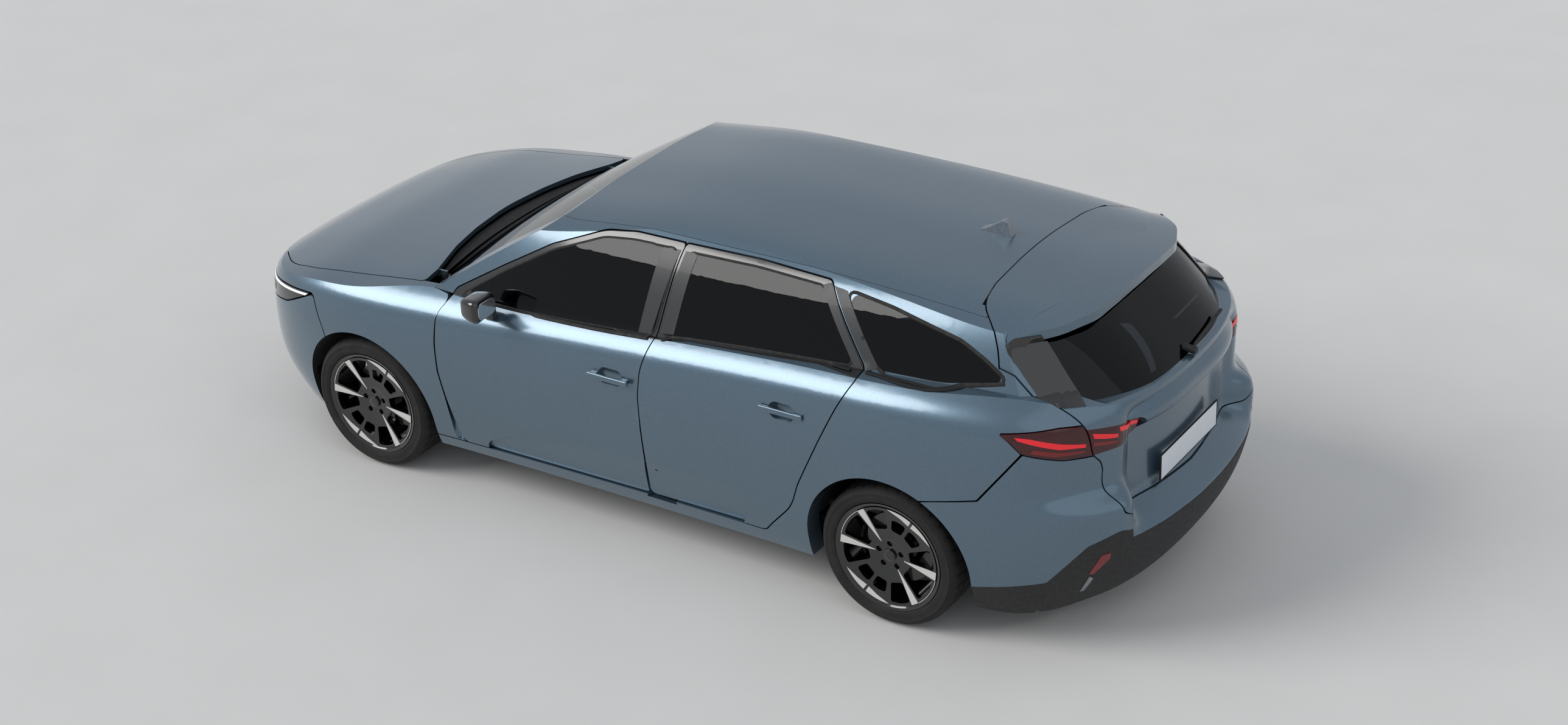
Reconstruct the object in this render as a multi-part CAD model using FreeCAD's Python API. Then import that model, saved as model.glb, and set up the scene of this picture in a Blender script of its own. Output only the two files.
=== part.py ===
"""A compact five-door station wagon, built as separate panels, glass, wheels and cabin pieces.

Millimetres. +X is forward, +Y is the left side, +Z is up. The origin is on the ground, under the middle
of the car. The outer skin comes from two closed hulls, the lower body and the glasshouse, which are
hollowed and then cut along the real shut lines into doors, wings, bumpers, bonnet, roof and tailgate.
"""
import FreeCAD, Part
import math
import os
from bisect import bisect_right

V = FreeCAD.Vector

# Overall sizes
LENGTH = 4636.0
WIDTH = 1852.0
WHEELBASE = 2732.0
FRONT_OVERHANG = 873.0
TRACK = 1556.0
TYRE_RADIUS = 318.5
TYRE_WIDTH = 225.0
RIM_RADIUS = 245.0

# Walls and gaps
SHUT_GAP = 5.5
DOOR_WALL = 92.0
FRAME_WALL = 40.0
SKIN_WALL = 26.0
BUMPER_WALL = 30.0
LID_WALL = 22.0
ROOF_WALL = 30.0
GLASS_WALL = 5.0

BOLT_RADIUS = 6.8
HOLLOW_LEAN = 14.0

# Joints
DOOR_HINGE_FRONT = (945.0, 880.0)
DOOR_HINGE_REAR = (-152.0, 872.0)
BONNET_HINGE = (1128.0, 938.0)
TAILGATE_HINGE = (-1560.0, 1362.0)
TAILGATE_HINGE_Y = 200.0
KINGPIN_Y = 735.0
STRUT_Y = 580.0
FRONT_ARCH = 370.0
REAR_ARCH = 378.0

NOSE_X = LENGTH / 2
TAIL_X = -LENGTH / 2
FRONT_AXLE_X = NOSE_X - FRONT_OVERHANG
REAR_AXLE_X = FRONT_AXLE_X - WHEELBASE
AXLE_Z = TYRE_RADIUS
HALF_WIDTH = WIDTH / 2
WHEEL_Y = TRACK / 2


class Profile:
    """A smooth curve through (position, value) pairs: a natural cubic spline, held flat past its ends."""

    def __init__(self, *pairs):
        pairs = sorted(pairs)
        self.at = [p[0] for p in pairs]
        self.value = [p[1] for p in pairs]
        n = len(pairs)
        self.step = [self.at[i + 1] - self.at[i] for i in range(n - 1)]
        lower, diagonal, upper, right = [0.0] * n, [1.0] * n, [0.0] * n, [0.0] * n
        for i in range(1, n - 1):
            before, after = self.step[i - 1], self.step[i]
            lower[i], diagonal[i], upper[i] = before, 2 * (before + after), after
            rise = (self.value[i + 1] - self.value[i]) / after
            right[i] = 6 * (rise - (self.value[i] - self.value[i - 1]) / before)
        for i in range(1, n):
            share = lower[i] / diagonal[i - 1]
            diagonal[i] -= share * upper[i - 1]
            right[i] -= share * right[i - 1]
        self.bend = [0.0] * n
        for i in range(n - 2, 0, -1):
            self.bend[i] = (right[i] - upper[i] * self.bend[i + 1]) / diagonal[i]

    def __call__(self, t):
        t = min(max(t, self.at[0]), self.at[-1])
        i = min(max(bisect_right(self.at, t) - 1, 0), len(self.step) - 1)
        h, a, b = self.step[i], self.at[i + 1] - t, t - self.at[i]
        cubic = (self.bend[i] * a ** 3 + self.bend[i + 1] * b ** 3) / (6 * h)
        first = (self.value[i] / h - self.bend[i] * h / 6) * a
        return cubic + first + (self.value[i + 1] / h - self.bend[i + 1] * h / 6) * b


def ease(t, low, high):
    """0 below low, 1 above high, and smooth between them."""
    t = min(max((t - low) / (high - low), 0.0), 1.0)
    return t * t * (3 - 2 * t)


# Lower body: a plan outline, set in by an amount that depends on the level
PLAN_POINTS = [
    (NOSE_X, 0), (NOSE_X - 8, 200), (NOSE_X - 34, 400), (NOSE_X - 95, 590), (NOSE_X - 215, 745),
    (NOSE_X - 390, 848), (NOSE_X - 620, 902), (FRONT_AXLE_X, HALF_WIDTH - 5), (1000, 912), (500, 905),
    (0, 905), (-500, 909), (-900, 916), (REAR_AXLE_X, HALF_WIDTH - 1), (-1650, 905), (-1900, 850),
    (-2090, 745), (-2215, 590), (-2282, 400), (TAIL_X + 7, 200), (TAIL_X, 0),
]
SEAM_X = -100.0
TOP_Z = 1300.0
LEVELS = [150, 200, 260, 330, 410, 500, 518, 535, 552, 570, 590, 610, 632, 652, 675, 705, 745, 795, 840, 872,
          900, 930, 965, 1005]
PLATE_RECESS = Profile((500, 0), (515, 2), (535, 32), (552, 74), (570, 120), (585, 138), (610, 139), (632, 124),
                       (652, 82), (675, 60), (705, 56), (745, 55), (795, 51), (840, 44), (872, 32), (900, 12),
                       (930, 0))
SIDE_INSET = Profile((150, 92), (200, 66), (260, 45), (330, 30), (410, 17), (500, 7), (590, 1), (670, 0),
                     (740, 4), (795, 12), (840, 23), (872, 37), (900, 58), (930, 92), (965, 142), (1005, 205),
                     (1100, 380))
NOSE_INSET = Profile((150, 150), (200, 105), (260, 66), (330, 30), (410, 8), (500, 0), (590, 0), (670, 2),
                     (740, 5), (795, 10), (840, 18), (872, 32), (900, 58), (930, 105), (965, 180),
                     (1005, 280), (1100, 540))
TAIL_INSET = Profile((150, 210), (200, 150), (260, 100), (330, 60), (410, 30), (500, 8), (560, 0), (610, 2),
                     (632, 18), (652, 60), (675, 82), (705, 84), (795, 80), (840, 80), (872, 84), (900, 92),
                     (930, 110), (965, 140), (1005, 185), (1100, 330))
BELT_RISE = Profile((NOSE_X, -118), (2200, -100), (2080, -72), (1900, -46), (1715, -28), (1308, -9),
                    (1000, 3), (561, 30), (-123, 76), (-700, 116), (-1131, 142), (-1484, 158), (-1800, 160),
                    (-2050, 150), (TAIL_X, 140))
CAP_CENTRE = Profile((2400, 700), (2318, 738), (2250, 775), (2150, 824), (2000, 868), (1800, 913), (1500, 952),
                     (1281, 981), (1100, 1000), (561, 1014), (-123, 1057), (-1131, 1130), (-1484, 1150),
                     (-1800, 1155), (-2000, 1125), (-2150, 1082), (-2240, 1052), (-2400, 985))
CAP_DROP = Profile((0, 0), (300, 5), (500, 15), (650, 28), (760, 42), (830, 56), (1000, 100))

# Glasshouse: where each of its surfaces stands
SCREEN_X = Profile((850, 1350), (990, 1126), (1100, 956), (1200, 790), (1300, 614), (1395, 425), (1500, 200))
SCREEN_BOW = Profile((0, 0), (300, 15), (600, 66), (760, 108), (900, 160))
BACK_X = Profile((850, -2150), (900, -2175), (930, -2215), (960, -2238), (985, -2238), (1010, -2224),
                 (1060, -2186), (1120, -2128), (1200, -2047), (1300, -1925), (1369, -1830), (1500, -1620))
BACK_WRAP = Profile((0, 0), (200, 6), (414, 50), (600, 168), (700, 280), (760, 385), (830, 560), (900, 800))
SIDE_Y = Profile((850, 845), (960, 817), (1050, 786), (1200, 723), (1300, 673), (1361, 622), (1388, 590),
                 (1410, 550), (1500, 300))
SIDE_PLAN = Profile((1500, -60), (1000, -22), (600, -4), (100, 0), (-900, 0), (-1400, -6), (-1750, -26),
                    (-2000, -70), (-2400, -180))
ROOF_CENTRE = Profile((700, 1350), (420, 1395), (200, 1423), (-200, 1438), (-600, 1440), (-1000, 1431),
                      (-1400, 1408), (-1510, 1399), (-1800, 1383), (-1970, 1370), (-2300, 1340))
ROOF_DROP = Profile((0, 0), (200, 5), (376, 18), (524, 36), (590, 50), (640, 68), (700, 96), (900, 230))


def mirrored(shape):
    return shape.mirror(V(0, 0, 0), V(0, 1, 0))


def plan_samples():
    """Points and outward normals round the plan outline, from the seam past the nose and the tail."""
    curve = Part.BSplineCurve()
    half = [V(x, y, 0) for x, y in PLAN_POINTS]
    curve.interpolate(Points=half + [V(p.x, -p.y, 0) for p in reversed(half[1:-1])], PeriodicFlag=True)
    first, last = curve.FirstParameter, curve.LastParameter
    count = 21
    places = [NOSE_X - (NOSE_X - SEAM_X) * (1 - math.cos(math.pi * i / count / 2)) for i in range(count)]
    steps = list(range(count, 4, -1)) + [4.5, 4, 3.5, 3, 2.5, 2, 1, 0]
    places += [TAIL_X + (SEAM_X - TAIL_X) * (1 - math.cos(math.pi * i / count / 2)) for i in steps]
    left = []
    for i, x in enumerate(places):
        low, high = first, first + (last - first) / 2
        for _ in range(40):
            middle = (low + high) / 2
            if curve.value(middle).x > x:
                low = middle
            else:
                high = middle
        point, along = curve.value(low), curve.tangent(low)[0]
        normal = V(along.y, -along.x, 0)
        if i in (0, len(places) - 1):
            point.y, normal = 0.0, V(1 if i == 0 else -1, 0, 0)
        if normal.dot(point) < 0:
            normal = normal * -1
        left.append((point, normal))
    right = [(V(p.x, -p.y, 0), V(n.x, -n.y, 0)) for p, n in reversed(left[1:-1])]
    return left[count:] + right + left[:count + 1]


def lower_point(point, normal, level, wall):
    """A point of the lower hull over a plan sample, at one level, moved inwards by wall."""
    front, rear = ease(point.x, 1750, 2250), ease(-point.x, 1800, 2230)
    inset = front * NOSE_INSET(level) + rear * TAIL_INSET(level) + (1 - front - rear) * SIDE_INSET(level)
    inset += rear * PLATE_RECESS(level) * (1 - ease(abs(point.y), 450, 590))
    height = level + BELT_RISE(point.x) * ease(level, 480, 850)
    return V(point.x - normal.x * (inset + wall), point.y - normal.y * (inset + wall), height)


def curve_poles(points, at):
    """A cubic curve through the points at the given parameters."""
    curve = Part.BSplineCurve()
    curve.interpolate(Points=points, Parameters=at)
    return curve


def smooth_sheet(grid):
    """A smooth surface through a grid of points, with both parameters taken from the middle lines."""

    def lengths(line):
        total = [0.0]
        for a, b in zip(line, line[1:]):
            total.append(total[-1] + max((b - a).Length, 1e-3))
        return [t / total[-1] for t in total]

    along = lengths([row[len(row) // 2] for row in grid])
    across = lengths(grid[len(grid) // 2])
    rows = [curve_poles(row, across) for row in grid]
    row_poles = [row.getPoles() for row in rows]
    columns = [curve_poles([poles[k] for poles in row_poles], along) for k in range(len(row_poles[0]))]
    poles = [list(line) for line in zip(*[column.getPoles() for column in columns])]
    surface = Part.BSplineSurface()
    surface.buildFromPolesMultsKnots(
        poles, columns[0].getMultiplicities(), rows[0].getMultiplicities(),
        columns[0].getKnots(), rows[0].getKnots(), False, False, 3, 3)
    return surface.toShape()


def ring_solid(columns):
    """A closed solid from the columns of points that run once round it."""
    side = smooth_sheet(columns)
    lids = []
    for z in (columns[0][0].z, columns[0][-1].z):
        edge = [e for e in side.Edges if abs(e.BoundBox.ZMin - z) < 1 and abs(e.BoundBox.ZMax - z) < 1]
        lids.append(Part.Face(Part.Wire(edge)))
    shell = Part.makeShell([side] + lids)
    shell.sewShape()
    solid = Part.makeSolid(shell)
    if solid.Volume < 0:
        solid.reverse()
    return solid


def under(grid, depth=3000.0):
    """The solid below a surface."""
    return smooth_sheet(grid).extrude(V(0, 0, -depth))


def cap(drop):
    """Everything under the bonnet and shoulder surface, lowered by drop."""
    xs = [2420, 2330, 2250, 2150, 2000, 1800, 1500, 1200, 900, 500, 0, -600, -1200, -1500, -1800, -2000, -2150,
          -2250, -2420]
    ys = [-1000, -860, -760, -620, -450, -220, 0, 220, 450, 620, 760, 860, 1000]
    return under([[V(x, y, CAP_CENTRE(x) - CAP_DROP(abs(y)) - drop) for y in ys] for x in xs])


def lower_hull(wall, drop, floor=None):
    samples = plan_samples()
    columns = []
    for point, normal in samples:
        column = [lower_point(point, normal, level, wall) for level in LEVELS]
        last = lower_point(point, normal, 1100, wall)
        column.append(V(last.x, last.y, TOP_Z))
        columns.append(column)
    hull = ring_solid(columns).common(cap(drop))
    if floor is not None:
        hull = hull.common(box(-3000, 3000, -1500, 1500, floor, 2000))
    return hull


def glasshouse(wall, roof_wall, end_wall):
    """The solid inside the windscreen, side glass, rear glass and roof, moved in by the walls."""
    zs = [850, 960, 1100, 1250, 1360, 1420, 1500]
    ys = [-900, -760, -600, -300, 0, 300, 600, 760, 900]
    xs = [1500, 1000, 500, 0, -700, -1300, -1700, -2000, -2400]

    def sheet(rows, direction):
        return smooth_sheet(rows).extrude(direction)

    tall = [850, 900, 930, 960, 985, 1010, 1060, 1120, 1250, 1360, 1420, 1500]
    front = sheet([[V(SCREEN_X(z) - SCREEN_BOW(abs(y)) - end_wall, y, z) for y in ys] for z in zs], V(-4500, 0, 0))
    back = sheet([[V(BACK_X(z) + BACK_WRAP(abs(y)) + end_wall, y, z) for y in ys] for z in tall], V(4500, 0, 0))
    left = sheet([[V(x, SIDE_Y(z) + SIDE_PLAN(x) - wall, z) for z in zs] for x in xs], V(0, -1900, 0))
    top = under([[V(x, y, ROOF_CENTRE(x) - ROOF_DROP(abs(y)) - roof_wall) for y in ys] for x in xs], 520)
    return front.common(back).common(left).common(mirrored(left)).common(top)


# Parts start
def box(x0, x1, y0, y1, z0, z1):
    return Part.makeBox(x1 - x0, y1 - y0, z1 - z0, V(x0, y0, z0))


def grown(points, by):
    """The outline moved outwards by a distance, corner by corner."""
    count = len(points)
    area = sum(points[i][0] * points[(i + 1) % count][1] - points[(i + 1) % count][0] * points[i][1]
               for i in range(count))
    side = 1 if area > 0 else -1
    moved = []
    for i in range(count):
        before, here, after = points[i - 1], points[i], points[(i + 1) % count]
        first = V(here[0] - before[0], here[1] - before[1], 0).normalize()
        second = V(after[0] - here[0], after[1] - here[1], 0).normalize()
        normal = V(first.y + second.y, -first.x - second.x, 0).normalize() * side
        reach = by / max(abs(normal.dot(V(first.y, -first.x, 0))), 0.4)
        moved.append((here[0] + normal.x * reach, here[1] + normal.y * reach) + tuple(here[2:]))
    return moved


def outline(points, place):
    """A closed wire with rounded corners; place turns the two numbers of a point into a vector."""
    count = len(points)
    cuts = []
    for i in range(count):
        before, here, after = place(points[i - 1]), place(points[i]), place(points[(i + 1) % count])
        first, second = (before - here), (after - here)
        radius = points[i][2] if len(points[i]) > 2 else 0
        half = first.getAngle(second) / 2
        if radius <= 0 or half > 1.565:
            cuts.append((here, here, here))
            continue
        back = min(radius / math.tan(half), 0.48 * first.Length, 0.48 * second.Length)
        start, end = here + first.normalize() * back, here + second.normalize() * back
        depth = back / math.cos(half) - back * math.tan(half)
        middle = here + (first + second).normalize() * depth
        cuts.append((start, middle, end))
    edges = []
    for i in range(count):
        start, middle, end = cuts[i]
        if (end - start).Length > 1e-6:
            edges.append(Part.Arc(start, middle, end).toShape())
        following = cuts[(i + 1) % count][0]
        if (following - end).Length > 1e-6:
            edges.append(Part.makeLine(end, following))
    return Part.Wire(edges)


def side_prism(points, y0=-1200.0, y1=1200.0):
    """An XZ outline pushed through from y0 to y1."""
    face = Part.Face(outline(points, lambda p: V(p[0], y0, p[1])))
    return face.extrude(V(0, y1 - y0, 0))


def plan_prism(points, z0=-100.0, z1=1700.0):
    face = Part.Face(outline(points, lambda p: V(p[0], p[1], z0)))
    return face.extrude(V(0, 0, z1 - z0))


def end_prism(points, x0, x1):
    face = Part.Face(outline(points, lambda p: V(x0, p[0], p[1])))
    return face.extrude(V(x1 - x0, 0, 0))


def both(half):
    """A half outline, given from its first centre point to its last, closed with its mirror image."""
    return half + [(p[0], -p[1]) + tuple(p[2:]) for p in reversed(half) if abs(p[1]) > 1e-6]


def both_end(half):
    return half + [(-p[0], p[1]) + tuple(p[2:]) for p in reversed(half) if abs(p[0]) > 1e-6]


def cylinder_y(x, z, radius, y0, y1):
    return Part.makeCylinder(radius, y1 - y0, V(x, y0, z), V(0, 1, 0))


def cylinder_z(x, y, radius, z0, z1):
    return Part.makeCylinder(radius, z1 - z0, V(x, y, z0))


def tube(points, radius):
    """A round bar through the points, with balls at its bends."""
    pieces = []
    for a, b in zip(points, points[1:]):
        pieces.append(Part.makeCylinder(radius, (b - a).Length, a, b - a))
    for p in points[1:-1]:
        pieces.append(Part.makeSphere(radius, p))
    return pieces[0].multiFuse(pieces[1:]) if len(pieces) > 1 else pieces[0]


def turned(profile, y_centre=0.0):
    """A ring about a Y axis through the origin, from (radius, y) points."""
    wire = outline(profile, lambda p: V(p[0], p[1] + y_centre, 0))
    return Part.Face(wire).revolve(V(0, 0, 0), V(0, 1, 0), 360)


def joined(shapes):
    shapes = [s for s in shapes if s is not None]
    return shapes[0].multiFuse(shapes[1:]).removeSplitter() if len(shapes) > 1 else shapes[0]


def biggest(shape, count=1):
    """The largest solids of a cut, so that thin offcuts are dropped."""
    solids = sorted(shape.Solids, key=lambda s: -s.Volume)[:count]
    return solids[0] if count == 1 else Part.makeCompound(solids)


# Outlines of the shut lines, in XZ for the sides
B_LINE = [(-86, 266, 25), (-104, 450, 300), (-99, 610, 400), (-95, 760, 300), (-106, 880, 250), (-146, 1030, 150),
          (-192, 1371, 12)]
FRONT_DOOR = [(918, 252, 30), (944, 330, 250), (974, 480, 400), (996, 610, 300), (1000, 740, 300), (998, 880, 90),
              (936, 985, 60), (690, 1131, 300), (455, 1262, 300), (215, 1352, 300), (60, 1370, 300)]
FRONT_DOOR = FRONT_DOOR + list(reversed(B_LINE))
REAR_DOOR = B_LINE + [(-560, 1376, 900), (-905, 1366, 40), (-1142, 1088, 45), (-1075, 956, 200), (-999, 800, 300),
                      (-885, 560, 300), (-846, 444, 250), (-731, 318, 120), (-690, 268, 40)]
FRONT_GLASS = [(905, 966, 20), (680, 1106, 300), (445, 1237, 300), (205, 1327, 200), (60, 1342, 300),
               (-170, 1346, 14), (-124, 1010, 16), (561, 970, 900)]
REAR_GLASS = [(-212, 1347, 14), (-560, 1351, 900), (-880, 1343, 25), (-1088, 1090, 20), (-921, 1084, 400),
              (-288, 1036, 900), (-164, 1017, 16)]
QUARTER_GLASS = [(-1190, 1098, 20), (-1484, 1110, 600), (-1748, 1160, 14), (-1640, 1222, 200), (-1530, 1268, 400),
                 (-1209, 1322, 500), (-985, 1346, 25)]
SILL_Z = 196.0
BONNET_HALF = [(1283, 0), (1281, 60), (1262, 250, 300), (1224, 440, 300), (1158, 655, 60), (1150, 758, 25),
               (1784, 758, 300), (1985, 722, 300), (2118, 605, 200), (2225, 500, 200), (2280, 390, 200),
               (2302, 200, 300), (2400, 60), (2400, 0)]
ROOF_HALF = [(560, 0), (560, 560), (400, 588, 60), (-1606, 588, 10), (-1545, 524, 200), (-1518, 376, 300),
             (-1509, 150, 400), (-1508, 0)]
TAILGATE_PLAN_HALF = [(-1508, 0), (-1509, 150, 400), (-1518, 376, 300), (-1545, 524, 200), (-1636, 620, 200),
                      (-1719, 700, 200), (-1760, 900), (-2600, 900), (-2600, 0)]
TAILGATE_END_HALF = [(0, 1500), (720, 1500), (700, 1312, 100), (694, 1105, 100), (664, 1014, 200), (645, 897, 60),
                     (614, 858, 60), (605, 818, 60), (607, 727, 60), (600, 650, 20), (524, 607, 60), (0, 590)]
A_LINE = FRONT_DOOR[1:6]
WING = [(1100, 256), (921, 256)] + A_LINE + [(960, 945, 20), (1066, 954), (1075, 1010), (2270, 1010),
                                              (2270, 762), (2060, 775), (1941, 791), (1738, 811, 8),
                                              (1720, 800), (1663, 656), (1650, 600), (1500, 500)]
HEADLAMP = [(1741, 805, 4), (1941, 785), (2060, 769), (2340, 741), (2340, 640), (2130, 668), (1930, 716, 20)]
FRONT_BUMPER = [(1500, 500), (1656, 600), (1669, 656), (1724, 793, 10), (1742, 797, 4), (1927, 709, 20),
                (2128, 662), (2340, 634), (2340, 165), (1700, 165)]
BODY_SIDE = [(1100, SILL_Z), (1100, 250), (905, 250), (905, 990), (955, 956), (1064, 956), (1064, 1040), (900, 1180),
             (600, 1350), (430, 1480), (-1700, 1480), (-2000, 1300), (-2150, 1100), (-2150, 1030),
             (-1988, 1035), (-1912, 1026), (-1780, 1014, 6), (-1827, 982), (-1874, 936, 5), (-1824, 868),
             (-1709, 716, 20), (-1515, 668), (-1400, 640), (-1150, 400), (-905, SILL_Z)]
REAR_LAMP = [(-1786, 1009, 4), (-1912, 1021), (-1988, 1030), (-2140, 1022), (-2140, 892), (-2009, 900),
             (-1878, 938, 10), (-1832, 982)]
REAR_BUMPER = [(-1400, 630), (-1515, 662), (-1714, 709, 20), (-1830, 863), (-1881, 931, 5), (-2009, 895),
               (-2089, 888), (-2420, 888), (-2420, 165), (-1500, 165)]
VALANCE = [(-1600, 150), (-1600, 262), (-1670, 288), (-1960, 352, 30), (-2110, 530, 30), (-2203, 575, 20),
           (-2251, 534, 60), (-2318, 515), (-2450, 510), (-2450, 150)]
SCREEN_HALF = [(0, 993), (300, 988), (572, 977), (733, 966, 25), (706, 1060, 300), (660, 1180, 300),
               (603, 1300, 300), (575, 1350, 100), (540, 1430), (0, 1460)]
SCREEN_TOP_HALF = [(446, 0), (452, 244, 300), (461, 401, 300), (486, 583, 300), (500, 760), (1400, 760),
                   (1400, 0)]
BACK_GLASS_HALF = [(0, 1066), (300, 1068), (560, 1080, 40), (596, 1110, 60), (578, 1230, 200), (542, 1335, 30),
                   (0, 1348)]
SPOILER_HALF = [(-1680, 0), (-1680, 560), (-1722, 672, 10), (-1879, 516, 250), (-1953, 352, 200), (-1965, 181, 400),
                (-1968, 0)]
TAIL_LAMP = [(690, 1013), (420, 981, 60), (361, 928, 4), (420, 905), (690, 893)]


def swing_room(hinge, radii):
    """Everything that a door's leading edge sweeps about its hinge line, from (height, radius) pairs."""
    x, y = hinge
    points = [V(x, y, radii[0][0])] + [V(x + r, y, z) for z, r in radii] + [V(x, y, radii[-1][0])]
    face = Part.Face(Part.makePolygon(points + [points[0]]))
    return face.revolve(V(x, y, 0), V(0, 0, 1), 360)


FRONT_SWING = [(262, 24), (360, 26), (480, 42), (610, 65), (740, 67), (800, 62), (860, 56), (940, 30)]
REAR_SWING = [(250, 78), (310, 72), (450, 58), (610, 66), (760, 66), (860, 52), (940, 30)]
HINGE_HEIGHTS = (430.0, 790.0)
PIN_RADIUS = 6.0
HINGE_EYE = 11.0


def hinge_arm(hinge, z, inboard, forward):
    """A fixed arm with an eye round the hinge pin."""
    x, y = hinge
    eye = cylinder_z(x, y, HINGE_EYE, z - 14, z + 14).cut(cylinder_z(x, y, PIN_RADIUS + 0.3, z - 20, z + 20))
    arm = box(x - 8, x + 8, y - inboard, y - 7, z - 10, z + 10)
    foot = box(x - 8, x + forward, y - inboard - 10, y - inboard + 8, z - 16, z + 16)
    return arm.fuse(eye).fuse(foot).cut(cylinder_z(x, y, PIN_RADIUS + 0.3, z - 20, z + 20))


def hinge_pocket(hinge, z):
    """The room in a door for the arm and its eye, over the whole swing."""
    x, y = hinge
    ring = cylinder_z(x, y, HINGE_EYE + 3, z - 20, z + 20)
    reach = box(x - 16, x + 120, y - 140, y + 4, z - 20, z + 20)
    return ring.fuse(reach)


def hinge_pin(hinge, z):
    return cylinder_z(hinge[0], hinge[1], PIN_RADIUS, z - 26, z + 26)


def door(hulls, points, glass, hinge, front_set, rear_set):
    """A left door: skin, thick inner box, window frame and hinge pins, with its window cut out."""
    inside = [min(p[0] for p in points), max(p[0] for p in points)]
    whole = hulls["side_wall"].common(side_prism(grown(points, -SHUT_GAP / 2), 300, 1200))
    rims = [box(inside[0] - 60, rear_set, 300, 1200, 150, 905), box(front_set, inside[1] + 60, 300, 1200, 150, 905)]
    for rim in rims:
        whole = whole.cut(hulls["skin_room"].common(rim))
    whole = whole.cut([side_prism(glass, 300, 1200), box(-1600, 1300, 0, 603, 1250, 1500)])
    for z in HINGE_HEIGHTS:
        whole = whole.cut(hinge_pocket(hinge, z))
        whole = whole.fuse(hinge_pin(hinge, z))
    return biggest(whole.cut(door_hollow()))


def door_hollow():
    """The room outside the hollow low door panel: it starts at a crease and leans in towards the sill."""
    zone = side_prism([(795, 230), (781, 295, 60), (626, 376, 200), (231, 425, 400), (-104, 444, 400),
                       (-560, 460, 60), (-640, 400, 60), (-560, 230)], 700, 1200)
    slab = box(-900, 1100, 0, 200, -400, 12)
    slab.rotate(V(0, 0, 0), V(1, 0, 0), -HOLLOW_LEAN)
    return zone.common(slab.translated(V(0, 893, 446)))


def handle_cup(x0, x1, z, y):
    """The hand's room behind a door handle."""
    a, b = x0 + 42, x1 - 42
    return side_prism([(a, z - 36, 34), (b, z - 36, 34), (b, z + 36, 34), (a, z + 36, 34)], y - 13, y + 60)


def door_handle(x0, x1, z, y):
    """A pull handle on two feet, standing off the door skin."""
    bar = rounded_box(x0, x1, y + 22, y + 36, z - 13, z + 13, 6)
    feet = [box(x0 + 12, x0 + 40, y - 20, y + 30, z - 9, z + 9), box(x1 - 40, x1 - 12, y - 20, y + 30, z - 9, z + 9)]
    return bar.multiFuse(feet)


def window_pane(hulls, points, shift):
    """A pane that fills an outline of the glasshouse, thickened inwards by shift."""
    solid = hulls["house"].common(side_prism(points, 300, 1200))
    return biggest(solid.cut(hulls["house"].translated(shift)))


def build_hulls():
    lower = lower_hull(0, 0)
    house = glasshouse(0, 0, 0)
    lower_in = lower_hull(DOOR_WALL, SKIN_WALL, 236)
    house_in = glasshouse(FRAME_WALL, ROOF_WALL, 46)
    outer = lower.fuse(house)
    shell = outer.cut(lower_in).cut(house_in)
    skin_room = lower_hull(SKIN_WALL, LID_WALL)
    tail_room = tailgate_room(SHUT_GAP)
    side_wall = shell.common(box(-2500, 2500, 300, 1200, 0, 1700)).cut(box(-2500, 2500, 0, 745, 0, 600))
    skin = lower.cut(skin_room)
    bumper_skin = lower.cut(lower_hull(BUMPER_WALL, BUMPER_WALL, 154))
    tail = box(-2500, -1400, -1200, 1200, 0, 1700)
    return {"lower": lower, "house": house, "side_wall": side_wall, "skin_room": skin_room,
            "skin": skin, "left_skin": skin.common(box(-2500, 2500, 300, 1200, 0, 1700)),
            "block": lower.cut(lower_in), "lower_in": lower_in, "tail_shell": shell.common(tail), "tail_room": tail_room,
            "front_bumper_skin": bumper_skin.common(box(1400, 2500, -1200, 1200, 0, 1700)),
            "rear_bumper_skin": bumper_skin.common(tail), "arches": arches()}


def tailgate_room(by):
    """The region the tailgate takes, grown by a distance."""
    plan = plan_prism(both(grown_half(TAILGATE_PLAN_HALF, by)))
    return plan.common(end_prism(both_end(grown_half(TAILGATE_END_HALF, by)), -2700, -1300))


def grown_half(half, by):
    """A half outline grown by a distance; its two centre points only move along the centre line."""
    whole = grown(both(half) if abs(half[0][1]) < 1e-6 else both_end(half), by)
    return whole[:len(half)]


def arches():
    """The wheel openings of the left side."""
    front = cylinder_y(FRONT_AXLE_X, AXLE_Z, FRONT_ARCH, 300, 1200)
    rear = cylinder_y(REAR_AXLE_X, AXLE_Z, REAR_ARCH, 300, 1200)
    front = front.fuse(box(FRONT_AXLE_X - FRONT_ARCH, FRONT_AXLE_X + FRONT_ARCH, 300, 1200, 100, AXLE_Z))
    return front.fuse(rear).fuse(box(REAR_AXLE_X - REAR_ARCH, REAR_AXLE_X + REAR_ARCH, 300, 1200, 100, AXLE_Z))


def screen_room():
    """The region that the windscreen takes."""
    rise = end_prism(both_end([(0, 940)] + SCREEN_HALF[1:]), 200, 1300)
    return rise.common(plan_prism(both(SCREEN_TOP_HALF), 900, 1500))


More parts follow.
